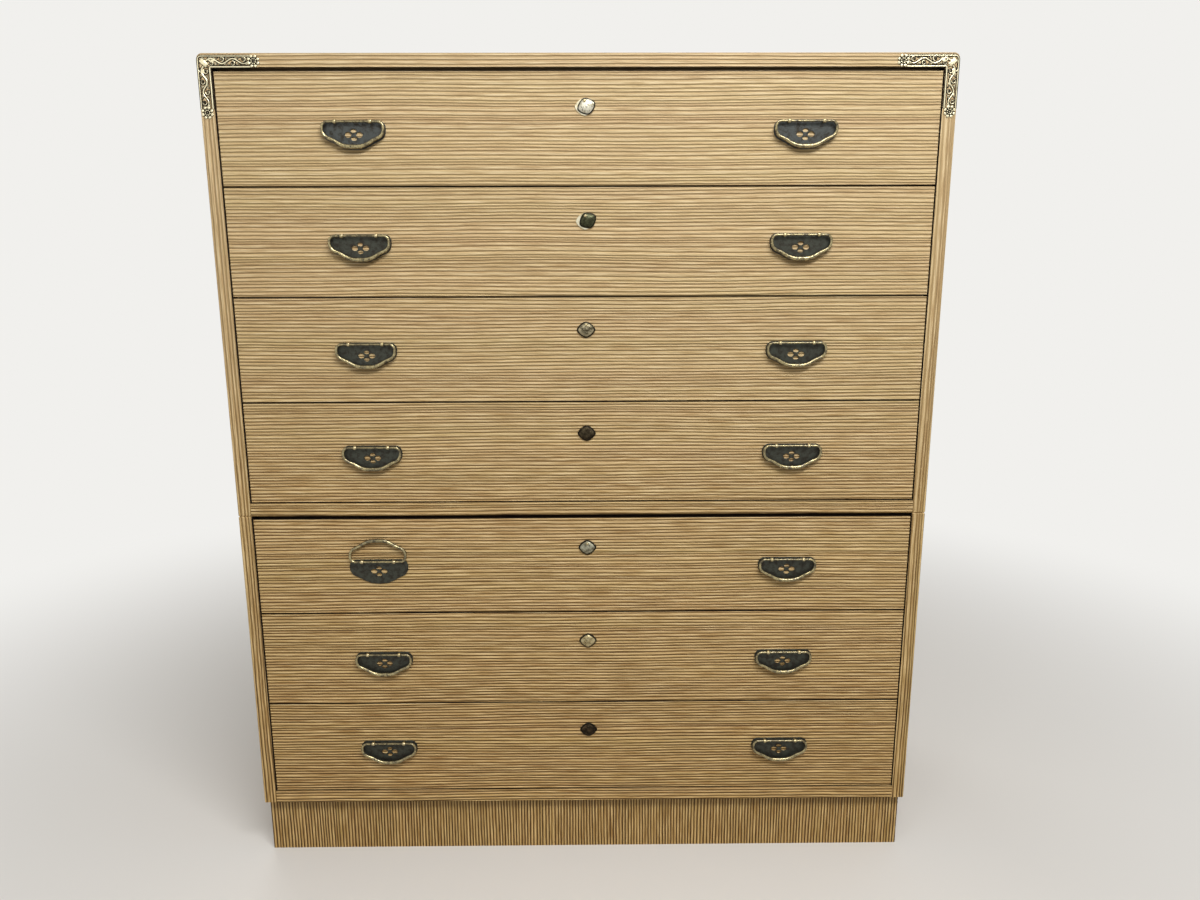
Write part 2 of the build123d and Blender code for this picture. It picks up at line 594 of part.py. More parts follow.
def build_cases():
    upper_tops = [front_bottom(n) + LIP for n in range(1, UPPER_DRAWERS)]
    lower_tops = [front_bottom(n) + LIP for n in range(UPPER_DRAWERS + 1, DRAWERS)]
    upper_floor = Z_SEAM + BOTTOM_T
    lower_floor = PLINTH_H + BOTTOM_T
    write("upper_side_panels", *[side_panel(s, Z_SEAM, HEIGHT, upper_tops, True) for s in (-1, 1)])
    write("upper_top_board", top_board())
    write("upper_dust_boards", ceiling_batten(), *[dust_board(top) for top in upper_tops])
    upper_bottom = bottom_board(Z_SEAM, upper_envelope())
    write("upper_bottom_board", upper_bottom, runner(-1, upper_floor), runner(1, upper_floor))
    write("upper_back_panel", back_panel(upper_floor - REBATE, HEIGHT - TOP_T + REBATE))
    write("corner_mounts", corner_mount(-1), corner_mount(1))
    lower_slots = lower_tops + [Z_SEAM]
    lower_sides = [side_panel(s, PLINTH_H, Z_SEAM, lower_slots, False) for s in (-1, 1)]
    dowels = [dowel(side, y) for side in (-1, 1) for y in dowel_rows()]
    write("lower_side_panels", *lower_sides, *dowels)
    write("lower_dust_boards", lower_top_board(), *[dust_board(top) for top in lower_tops])
    lower_bottom = bottom_board(PLINTH_H, lower_envelope())
    write("lower_bottom_board", lower_bottom, runner(-1, lower_floor), runner(1, lower_floor))
    write("lower_back_panel", back_panel(lower_floor - REBATE, Z_SEAM - BOARD_T + REBATE))
    write("plinth", *plinth_boards())


def build_drawer(number):
    z0 = front_bottom(number)
    name = f"drawer_{number}"
    lock_z = z0 + FRONT_H - LOCK_DROP
    write(f"{name}_front", drawer_front(z0))
    write(f"{name}_box", box_side(-1, z0), box_side(1, z0), box_back(z0), box_bottom(z0))
    plates = [back_plate(x, z0) for x in handle_centres()]
    eyes = [split_eye(x, z) for x, z in eye_places(z0)]
    write(f"{name}_fittings", *plates, *eyes, key_plate(lock_z), lock_case(z0))
    left_x, right_x = handle_centres()
    write(f"{name}_left_bail", bail(left_x, z0, number == RAISED_DRAWER))
    write(f"{name}_right_bail", bail(right_x, z0, False))
    write(f"{name}_key_cover", key_cover(lock_z, COVER_SWUNG.get(number, 0.0)))
    write(f"{name}_lock_bolt", lock_bolt(z0))


def main():
    os.makedirs("parts", exist_ok=True)
    build_cases()
    for number in range(1, DRAWERS + 1):
        build_drawer(number)


if __name__ == "__main__":
    main()
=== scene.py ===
"""Finishes a two-part clothing chest: brushed ribbed wood, bail handles, locks and corner mounts."""

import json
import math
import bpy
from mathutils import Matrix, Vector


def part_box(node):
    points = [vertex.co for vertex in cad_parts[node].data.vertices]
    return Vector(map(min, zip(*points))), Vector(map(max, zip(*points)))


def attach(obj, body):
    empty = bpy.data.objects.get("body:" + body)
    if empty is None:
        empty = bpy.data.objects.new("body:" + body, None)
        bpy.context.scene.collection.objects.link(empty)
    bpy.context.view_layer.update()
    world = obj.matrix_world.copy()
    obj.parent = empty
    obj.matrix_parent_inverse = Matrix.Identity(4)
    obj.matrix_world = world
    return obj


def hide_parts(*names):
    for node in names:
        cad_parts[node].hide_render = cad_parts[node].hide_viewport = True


bl_info = {
    "name": "Two-part clothing chest",
    "version": (1, 0, 0),
    "blender": (4, 5, 0),
    "location": "3D View > Sidebar > Chest",
    "description": "Finishes the wood and makes the metal fittings of a stacking clothing chest",
    "category": "Object",
}

import bmesh
import bpy
from mathutils import Matrix, Vector

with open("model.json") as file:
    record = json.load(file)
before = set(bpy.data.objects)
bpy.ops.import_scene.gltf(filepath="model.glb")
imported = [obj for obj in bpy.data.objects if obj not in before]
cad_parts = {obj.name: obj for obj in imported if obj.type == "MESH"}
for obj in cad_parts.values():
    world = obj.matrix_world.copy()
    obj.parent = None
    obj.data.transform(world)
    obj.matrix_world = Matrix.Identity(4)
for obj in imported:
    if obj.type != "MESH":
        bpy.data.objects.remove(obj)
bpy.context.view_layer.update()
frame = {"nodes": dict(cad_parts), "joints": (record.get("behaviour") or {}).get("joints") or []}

MM = 0.001
JOINTS = {joint["name"]: joint for joint in frame["joints"]}
FRONTS = [name for name in frame["nodes"] if name.startswith("drawer_") and name.endswith("_front")]
DRAWERS = range(1, 1 + len(FRONTS))

# Planes of the chest that several pieces are placed by, in metres.
CASE_LOW, CASE_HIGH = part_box("upper_side_panels")
FRONT_LOW, FRONT_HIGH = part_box("drawer_1_front")
FRONT_GAP = 1.5 * MM
X_OUTSIDE = CASE_HIGH.x
X_INSIDE = FRONT_HIGH.x + FRONT_GAP
Y_CASE = CASE_LOW.y
Y_FACE = FRONT_LOW.y
Y_STOP = FRONT_HIGH.y
Z_TOP = CASE_HIGH.z

# Places beyond which the brushed boards are only planed, as they are within the chest.
INSIDE_SIDES = X_INSIDE + 0.05 * MM
UNDER_TOP = Z_TOP - 17.9 * MM
BEHIND_RAILS = -Y_CASE - 2 * MM
BEHIND_FACES = -Y_FACE - 1 * MM
# The recess behind the edges of the fronts is painted near black as far as this: painted shade, where the
# gaps between drawers lie in shade.
SHADED_TO = Y_STOP + 2 * MM
# A drawer's back board starts here.
DRAWER_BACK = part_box("drawer_1_box")[1].y - 12.05 * MM

# Stands a flat sheet up to face the viewer, and turns a pin from along X to along the depth.
UPRIGHT = Matrix.Rotation(math.radians(90), 4, "X")
PIN_TURN = Matrix.Rotation(math.radians(-90), 4, "Z")


# ---- patterns of the brushed wood --------------------------------------------------------------

# Noise drawn out along the grain: millimetres along it and across it, and detail.
STREAKS = {
    "wander": (420, 90, 1.0),  # a growth line wanders over a forearm's length
    "tremble": (35, 12, 3.0),  # and trembles over a finger's width
    "fading": (110, 7, 2.0),  # it fades and comes back
    "showing": (160, 5, 1.0),  # fainter lines between come and go
    "band": (900, 40, 1.0),  # bands a hand wide lean to pink or to straw
    "fibre": (45, 1.3, 1.5),  # darker fibres, which leave the crests less rubbed
    "pore": (6, 1.2, 2.0),
}
# What changes up the chest: two heights in metres, and the value at each. Much of it is painted light:
# broader, darker growth lines and paler crests near the floor, a pale sheen over the upper drawers and a warm
# shade near the floor.
UP_THE_CHEST = {
    "mixed": (0.1, 1.0, 0.65, 1.0),  # how unequal the ribs are
    "reach": (0.1, 1.15, 2.0, 0.65),  # how broad the growth lines are; broader near the floor as painted shade of the ribs
    "strength": (0.1, 1.15, 1.5, 0.6),  # how dark the growth lines are; darker near the floor as painted shade of the ribs
    "crest": (0.1, 1.0, 0.4, 0.75),  # how far up a rib its pale crest starts
    "daylight": (0.1, 0.9, 0.0, 1.0),  # crests from their low colour, painted paler for the weaker light near the floor, to their high one
    "painted_warm_shade": (0.0, 0.8, 1.0, 0.0),  # painted warm, darker shade near the floor
    "painted_sheen": (0.6, 1.24, 0.0, 0.16),  # painted pale sheen of light from above on the upper drawers
}


# ---- measures of the fittings, in millimetres --------------------------------------------------

# Bail: corners of its right half below its axis (x, z, rounding), the end of its straight bar, and the
# share of its line from either end at which it has its cheek's radius.
BAIL_CORNERS = ((42.5, 0.0, 8.0), (42.5, -18.0, 12.0), (27.5, -24.7, 30.0), (13.5, -33.3, 34.0))
BAIL_BAR_END = 28.0
BAIL_CHEEK_SHARE = 0.22

# Painted shade and dark reflection on the sides and back of the bails, and a darker rim on the covers next to
# the plate: the depth left undarkened and the depth where the dark is whole, from the piece's pivot, and how
# much it covers there.
HANGING_SHADE = (-1.8, -0.5, 0.65)
LEANING_SHADE = (-0.8, 1.4, 0.6)
COVER_RIM_DARK = (-1.5, -1.0, 1.0)

# Back plate: how far its lower corners lie below the bail's, its bevel, and its four openings (x, z, width,
# height).
PLATE_DROP = 1.3
PLATE_BEVEL = 0.35
PLATE_FLOWER = (
    (-7.9, -17.0, 9.4, 7.6), (7.9, -17.0, 9.4, 7.6),
    (0.0, -22.3, 8.4, 5.4), (0.0, -11.7, 8.4, 5.4),
)

# Eyes: their distance from the middle of the bar, the section of the ring (along the bar, radius), and the
# split shank from the side (y, z), back from the ring through the front, with its ends bent over.
EYE_SHIFT = 24.5
EYE_RING = ((-2.2, 1.6), (2.2, 1.6), (2.25, 2.4), (1.5, 2.9), (0.0, 3.0), (-1.5, 2.9), (-2.25, 2.4))
EYE_SHANK = (
    (2.0, -1.4), (26.6, -1.4), (26.6, -9.0), (27.2, -10.0), (27.9, -8.6), (28.0, 0.0),
    (27.9, 8.6), (27.2, 10.0), (26.6, 9.0), (26.6, 1.4), (2.0, 1.4),
)
SHANK_HALF_WIDTH = 1.5
SHANK_BEVEL = 0.25

# Keyhole plate: width and height, thickness and bevel. Keyhole: radius, and its slot's half width and reach.
KEY_PLATE = (27.5, 24.0)
KEY_PLATE_THICKNESS = 1.2
KEY_PLATE_BEVEL = 0.3
KEYHOLE_RADIUS = 1.9
KEYHOLE_SLOT = (1.0, 6.0)

# Keyhole cover: width and height, its pin above its middle, and its dome from the rim inwards (share of the
# outline, share of the height).
COVER = (26.5, 23.0)
COVER_PIVOT = 7.0
COVER_PROFILE = (
    (1.0, 0.0), (1.0, 0.12), (0.965, 0.21), (0.9, 0.28), (0.86, 0.29), (0.8, 0.46), (0.7, 0.66),
    (0.56, 0.82), (0.4, 0.92), (0.22, 0.97), (0.08, 0.99),
)
# The cover's pin along its axis (along, radius), from behind the plate to its domed head, and its hole.
PIN = ((-0.9, 0.0), (-0.9, 1.1), (3.9, 1.1), (3.9, 2.0), (4.35, 1.9), (4.75, 1.3), (4.85, 0.0))
PIN_HOLE = ((-6, 0.0), (-6, 1.2), (6, 1.2), (6, 0.0))
# Bright tone, dark tone, roughness and bright share of each drawer's cover, from the top drawer down.
COVER_TONES = (
    ("#DAD5C2", "#8E866B", 0.36, 0.7),
    ("#4E503A", "#2C2B1C", 0.3, 0.5),
    ("#A79D80", "#3A3322", 0.34, 0.6),
    ("#4C4331", "#292216", 0.34, 0.4),
    ("#A5A38F", "#66614E", 0.36, 0.5),
    ("#BFB28C", "#7A6A45", 0.34, 0.6),
    ("#473A29", "#231B11", 0.32, 0.4),
)
# A cover with more bright metal than this has a brass pin, and the others a grimy one.
BRIGHT_PIN_SHARE = 0.45
# The keyhole plates down to this drawer are rubbed bright.
LAST_BRIGHT_PLATE = 2

# Lock case: half width, depth, height, how far it stands above the bolt, room round the bolt, and bevel.
LOCK_HALF_WIDTH = 21.0
LOCK_DEPTH = 10.0
LOCK_HEIGHT = 56.0
LOCK_ABOVE_BOLT = 0.2
BOLT_ROOM = 0.3
LOCK_BEVEL = 0.4

# Corner mount, from the case's outer corner: the reach and the width of the leg to the right and of the one
# down, and how far its border lines lie inside its outer and its inner edge.
MOUNT_ACROSS, MOUNT_TOP_W = 87.0, 17.0
MOUNT_DOWN, MOUNT_SIDE_W = 84.0, 19.0
BORDER_INSET, INNER_INSET = 2.0, 1.2
# Its two flowers: reach, number of petals, how far out petals and stamens start, the boss's radius, and the
# radius, thickness and bevel of the disc behind.
FLOWER_REACH = 8.8
PETALS = 8
PETAL_OUT, STAMEN_OUT = 4.6, 2.0
BOSS_RADIUS = 0.9
DISC_RADIUS, DISC_THICKNESS, DISC_BEVEL = 6.8, 0.5, 0.1
# Vine of each leg: how far it starts within the corner, how far it swings to either side, its waves, the
# curls' distance from the middle and their radius, and a thin line's share of the stem's width.
VINE_START, VINE_SWING, VINE_WAVES = 4, 3.2, 2
CURL_OUT, CURL_RADIUS = 2.9, 3.3
THIN = 0.8
# Curls in the corner: x, z, radius, turn in degrees and hand.
CORNER_CURLS = ((20.0, -5.6, 3.2, -90, -1), (5.8, -20.0, 3.2, 180, 1))
# Height at which the polished crests are whole, and the web's share of a stroke's height.
CREST_RISE = 1.1
WEB_RISE = 0.25
# Length, width and rise of each kind of leaf.
SPRIG, PETAL, STAMEN = (9.0, 4.4, 1.4), (4.4, 4.8, 1.3), (2.6, 1.9, 1.2)
# Sprigs in each wave of a leg: along, out from the middle, facing and turn in degrees, and size.
LEG_SPRIGS = (
    (4.2, 5.2, 0, -30, 0.62), (-4.0, 5.4, 180, 28, 0.55),
    (1.5, -4.6, 0, 24, 0.66), (-2.0, -5.0, 180, -30, 0.5),
)
# Broad leaves that fan out into the corner from where the legs meet, and sprigs beside them: x, z, turn and
# size.
CORNER_SPRIGS = (
    (17.0, -13.0, 168, 1.35), (15.0, -14.5, 146, 1.5), (14.0, -15.5, 124, 1.5), (13.0, -17.0, 102, 1.3),
    (18.0, -9.5, 15, 1.0), (9.5, -18.0, -105, 1.0), (12.0, -5.6, 170, 0.7), (5.6, -12.0, 100, 0.7),
)


# ---- the stage, in metres and degrees ----------------------------------------------------------

# Each lamp's name, place and size. They all face the middle of the chest.
LAMPS = {
    "key": ("key_softbox", (0.55, -1.8, 2.5), (1.7, 0.5)),
    "fill": ("fill_softbox", (-1.9, -2.4, 1.7), (1.8, 1.8)),
    "back": ("back_softbox", (-1.5, 2.6, 1.9), (1.8, 1.8)),
    "strip": ("ceiling_strip", (0.35, -0.5, 2.4), (1.8, 0.2)),
}
LAMP_AIM = Vector((0, -0.2, 0.75))
SKY_TINT = (1.0, 0.985, 0.96, 1.0)
FLOOR_REACH = 9.0
# The floor fades into the backdrop between these distances from the middle.
FLOOR_FADE = (0.7, 2.2)
CAMERA_LENS = 26.01
CAMERA_SENSOR = 36.0
CAMERA_PLACE = (0.0150, -1.4920, 0.9531)
CAMERA_TURN = (0.51, 11.95, -0.18)  # to the right, down, and rolled


# ---- sizes and colours that a user would change ------------------------------------------------


def linear(hex_colour):
    """An sRGB hex colour as linear RGBA."""
    channels = [int(hex_colour[i : i + 2], 16) / 255 for i in (1, 3, 5)]
    return [c / 12.92 if c <= 0.04045 else ((c + 0.055) / 1.055) ** 2.4 for c in channels] + [1.0]


def length(name, millimetres, description):
    return bpy.props.FloatProperty(
        name=name, description=description, default=millimetres * MM, min=0.0, unit="LENGTH", precision=5
    )


def colour(name, hex_colour, description):
    return bpy.props.FloatVectorProperty(
        name=name,
        description=description,
        default=linear(hex_colour),
        size=4,
        subtype="COLOR",
        min=0.0,
        max=1.0,
    )


def power(name, watts, description):
    return bpy.props.FloatProperty(name=name, description=description, default=watts, min=0.0, unit="POWER")


class ChestWood(bpy.types.PropertyGroup):
    rib_pitch: length("Rib pitch", 4.9, "Usual distance from one growth line to the next")
    rib_depth: length("Rib depth", 1.0, "How far the ribs stand above the brushed-out wood")
    line_width: length("Line width", 1.2, "Width of a dark growth line")
    sway: length("Sway", 9.0, "How far a growth line wanders to one side")
    tremble: length("Tremble", 1.2, "Short unevenness of a growth line")
    straw: colour("Straw", "#C2A76F", "Yellower bands of the ribs")
    blush: colour("Blush", "#C5A571", "Pinker bands of the ribs")
    # Painted highlight: the crest colours are partly rubbed wood and partly a painted highlight of light from
    # above; the low one is painted paler to make up for the weaker light near the floor.
    crest: colour("Crest", "#DCC598", "Rubbed crests of the ribs")
    low_crest: colour("Low crest", "#F0D9AC", "Crests of the ribs near the floor, away from daylight")
    shade: colour("Shade", "#9C7947", "Darkest ribs and fibres")
    line: colour("Growth line", "#4C3518", "Hard growth lines")
    # Painted shade: near black painted on the hidden wood just behind the fronts' edges, standing in for the
    # shade in the gaps.
    painted_shade: colour("Stain", "#2A1F17", "Dark stain in the recess behind the edges of the fronts")
    # Painted sheen: pale colour of light from above, painted over the upper drawers.
    painted_sheen: colour("Bleach", "#D0C7B0", "Colour that daylight bleaches the upper drawers towards")
    # Painted shade: warmer, darker tint painted near the floor.
    painted_warm_shade: colour("Amber", "#FBEED0", "Tint of the darker, less handled wood near the floor")
    bare: colour("Bare wood", "#DCC7A6", "Planed wood inside the chest")
    bare_grain: colour("Bare grain", "#C3A67C", "Grain of the planed wood")


class ChestHandles(bpy.types.PropertyGroup):
    end: length("Bail end", 1.6, "Radius of the forged bail where it leaves its bar")
    cheek: length("Bail cheek", 2.35, "Radius of the forged bail at its sides")
    grip: length("Bail grip", 3.15, "Radius of the forged bail at its lowest point")
    bar: length("Bar", 1.5, "Radius of the straight bar that turns in the eyes")
    hammer: length("Hammer marks", 0.06, "Unevenness of the forged bail")
    plate: length("Plate", 1.6, "Thickness of a back plate")
    margin: length("Margin", 2.4, "Back plate outside the bail's centre line")
    # Painted sheen: the top drawer's plates are painted lighter than the others, standing in for the sheen of
    # light on them.
    patina: colour("Patina", "#494C4A", "Blackened back plates of the top drawer")
    soot: colour("Soot black", "#40423A", "Blackened back plates of the other drawers")
    rust: colour("Brown patina", "#2F2B24", "Brown blooms in the blackening")
    brass: colour("Brass", "#A5976C", "Handled brass")
    tarnish: colour("Tarnish", "#4F4630", "Brown tarnish of the brass")
    rubbed: colour("Rubbed brass", "#B8AA84", "Brass rubbed bright on the eyes")


class ChestLocks(bpy.types.PropertyGroup):
    dome: length("Dome", 3.8, "Height of a keyhole cover")
    border: colour("Border", "#DED7BE", "Rubbed edges of the upper keyhole plates")
    # Old grime, and also the painted shade and dark reflection on the bails' sides and back, and the darker
    # rim of the covers.
    grime_and_shade: colour("Grime", "#17130C", "Old grime round the covers")
    iron: colour("Iron", "#6E6A64", "Plain iron of the lock cases")
    iron_shade: colour("Iron shade", "#4A4239", "Brown bloom on the iron")
    steel: colour("Steel", "#B4B2AC", "Drawn steel of the bolts")
    steel_shade: colour("Steel shade", "#7E7A73", "Dull places on the steel")


class ChestMounts(bpy.types.PropertyGroup):
    stem: length("Stem", 1.15, "Half width of the vine's stem")
    # The dark web is partly the casting's blackening and partly painted shade in the gaps between the
    # strokes.
    web: length("Web", 0.9, "Blackened web beside each stroke")
    crest: colour("Crest", "#E6DCB8", "Bright brass on the raised tracery")
    ground: colour("Ground", "#1E1A11", "Blackening in the hollows of the tracery")


class ChestStage(bpy.types.PropertyGroup):
    floor: colour("Floor", "#DEDBD6", "Floor as it is seen")
    bounce: colour("Floor bounce", "#A39C90", "Floor as it lights the chest from below")
    backdrop: colour("Backdrop", "#F1F0ED", "Backdrop, and the floor far away")
    key: power("Key light", 57.0, "Power of the main lamp")
    fill: power("Fill light", 6.0, "Power of the fill lamp")
    back: power("Back light", 22.0, "Power of the lamp behind")
    strip: power("Strip light", 4.0, "Power of the strip overhead")
    sky: bpy.props.FloatProperty(
        name="Surroundings", description="Strength of the surroundings", default=0.335, min=0.0
    )


GROUPS = {
    "wood": ChestWood,
    "handles": ChestHandles,
    "locks": ChestLocks,
    "mounts": ChestMounts,
    "stage": ChestStage,
}


def sizes(group):
    return getattr(bpy.context.scene, "chest_" + group)


# ---- small tools -------------------------------------------------------------------------------


def feed(tree, socket, value):
    """Links an input to a node's first output or to the output given, or sets it to a plain value."""
    if isinstance(value, bpy.types.Node):
        value = next(s for s in value.outputs if s.enabled)
    if isinstance(value, bpy.types.NodeSocket):
        tree.links.new(value, socket)
    elif value is not None:
        socket.default_value = value


def add(tree, kind, *values, named=None, **settings):
    """Adds a node. values feed its enabled inputs in order and named feeds them by name."""
    node = tree.nodes.new(kind)
    for name, value in settings.items():
        setattr(node, name, value)
    for socket, value in zip([s for s in node.inputs if s.enabled], values):
        feed(tree, socket, value)
    for name, value in (named or {}).items():
        feed(tree, node.inputs[name], value)
    return node


def new_material(name):
    """A material and its empty node tree."""
    material = bpy.data.materials.new(name)
    material.use_nodes = True
    material.node_tree.nodes.clear()
    return material, material.node_tree


def shaded(material, look):
    """Ends a material with its shader, which look feeds by name."""
    tree = material.node_tree
    add(tree, "ShaderNodeOutputMaterial", add(tree, "ShaderNodeBsdfPrincipled", named=look))
    return material


def with_material(mesh, material):
    mesh.materials.clear()
    mesh.materials.append(material)
    return mesh


def dress(node_name, material):
    """Gives a CAD node a better finish."""
    with_material(frame["nodes"][node_name].data, material)


def linked(name, data):
    """A new object of the scene with this data."""
    made = bpy.data.objects.new(name, data)
    bpy.context.scene.collection.objects.link(made)
    return made


def piece(name, mesh, body, node_name):
    """Links a finished mesh as a piece that rides on a body and stands in for a CAD node."""
    mesh.name = name
    made = linked(name, mesh)
    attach(made, body)
    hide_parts(node_name)


def joined(meshes):
    """One mesh of several, each with its own material slots kept."""
    target = bmesh.new()
    materials = []
    for mesh in meshes:
        first = len(target.faces)
        target.from_mesh(mesh)
        target.faces.ensure_lookup_table()
        shift = len(materials)
        for face in target.faces[first:]:
            face.material_index += shift
        materials += list(mesh.materials)
    result = bpy.data.meshes.new("joined")
    target.to_mesh(result)
    target.free()
    for material in materials:
        result.materials.append(material)
    return result


def plain_mesh(host):
    """The evaluated shape of an object as a plain mesh. The object is deleted."""
    bpy.context.view_layer.update()
    depsgraph = bpy.context.evaluated_depsgraph_get()
    mesh = bpy.data.meshes.new_from_object(host.evaluated_get(depsgraph), depsgraph=depsgraph)
    host.modifiers.clear()
    bpy.data.objects.remove(host)
    return mesh


def geometry_tree(name, **sockets):
    """A Geometry Nodes tree with a named input for each keyword, of the kind that its default asks for."""
    tree = bpy.data.node_groups.new(name, "GeometryNodeTree")
    face = tree.interface
    face.new_socket("Geometry", in_out="INPUT", socket_type="NodeSocketGeometry")
    for label, default in sockets.items():
        kind = "NodeSocketFloat" if isinstance(default, float) else default
        socket = face.new_socket(label.replace("_", " ").capitalize(), in_out="INPUT", socket_type=kind)
        if kind is not default:
            socket.default_value = default
    face.new_socket("Geometry", in_out="OUTPUT", socket_type="NodeSocketGeometry")
    return tree, add(tree, "NodeGroupInput").outputs


def grown(host, tree, **values):
    """The plain mesh that a Geometry Nodes tree makes of host."""
    modifier = host.modifiers.new(tree.name, "NODES")
    modifier.node_group = tree
    for item in tree.interface.items_tree:
        key = item.name.lower().replace(" ", "_")
        if item.in_out == "INPUT" and key in values:
            modifier[item.identifier] = values[key]
    return plain_mesh(host)


# Most degrees from one point of a rounded corner to the next.
ARC_STEP = 18


def rounded(corners, close):
    """Points of a line through corners (x, y, rounding), with an arc at each corner."""
    points = []
    count = len(corners)
    for index, (x, y, radius) in enumerate(corners):
        here = Vector((x, y))
        if not close and index in (0, count - 1):
            points.append(here)
            continue
        back = (Vector(corners[index - 1][:2]) - here).normalized()
        ahead = (Vector(corners[(index + 1) % count][:2]) - here).normalized()
        half = back.angle(ahead) / 2
        middle = here + (back + ahead).normalized() * radius / math.sin(half)
        start = here + back * radius / math.tan(half) - middle
        turn = start.angle_signed(here + ahead * radius / math.tan(half) - middle)
        parts = max(2, math.ceil(abs(math.degrees(turn)) / ARC_STEP))
        for part in range(parts + 1):
            angle = -turn * part / parts
            points.append(middle + Matrix.Rotation(angle, 2) @ start)
    return points


def widened(points, margin):
    """A closed outline moved outwards by a margin. The points run clockwise."""
    moved = []
    for index, point in enumerate(points):
        along = (points[(index + 1) % len(points)] - points[index - 1]).normalized()
        moved.append(point + Vector((-along.y, along.x)) * margin)
    return moved


def sheet_metal(outlines, thickness, bevel):
    """A flat plate with bevelled edges. The first outline is its edge and the others are its openings."""
    curve = bpy.data.curves.new("sheet", "CURVE")
    curve.dimensions = "2D"
    curve.fill_mode = "BOTH"
    curve.extrude = thickness / 2 - bevel
    curve.bevel_depth = bevel
    curve.bevel_resolution = 1
    curve.offset = -bevel
    for outline in outlines:
        spline = curve.splines.new("POLY")
        spline.points.add(len(outline) - 1)
        for target, point in zip(spline.points, outline):
            target.co = (*point, 0.0, 1.0)
        spline.use_cyclic_u = True
    return plain_mesh(linked("sheet", curve))


# ---- finishes ----------------------------------------------------------------------------------

SMOOTH = {"interpolation_type": "SMOOTHSTEP"}


def grain_space(tree, along):
    """Where a point lies along the grain and across it, in metres, and its plain coordinates."""
    place = add(tree, "ShaderNodeSeparateXYZ", add(tree, "ShaderNodeTexCoord").outputs["Object"])
    one, other = [place.outputs[axis] for axis in "XYZ" if axis != along]
    across = add(tree, "ShaderNodeMath", one, other, operation="ADD")
    return add(tree, "ShaderNodeCombineXYZ", place.outputs[along], across, 0.0), across, place


def streaks(tree, space, long_mm, wide_mm, detail=1.0):
    """Noise that changes over this many millimetres along the grain and across it."""
    stretched = add(tree, "ShaderNodeMapping", space, named={"Scale": (1000 / long_mm, 1000 / wide_mm, 1.0)})
    return add(tree, "ShaderNodeTexNoise", stretched, named={"Scale": 1.0, "Detail": detail}).outputs["Fac"]


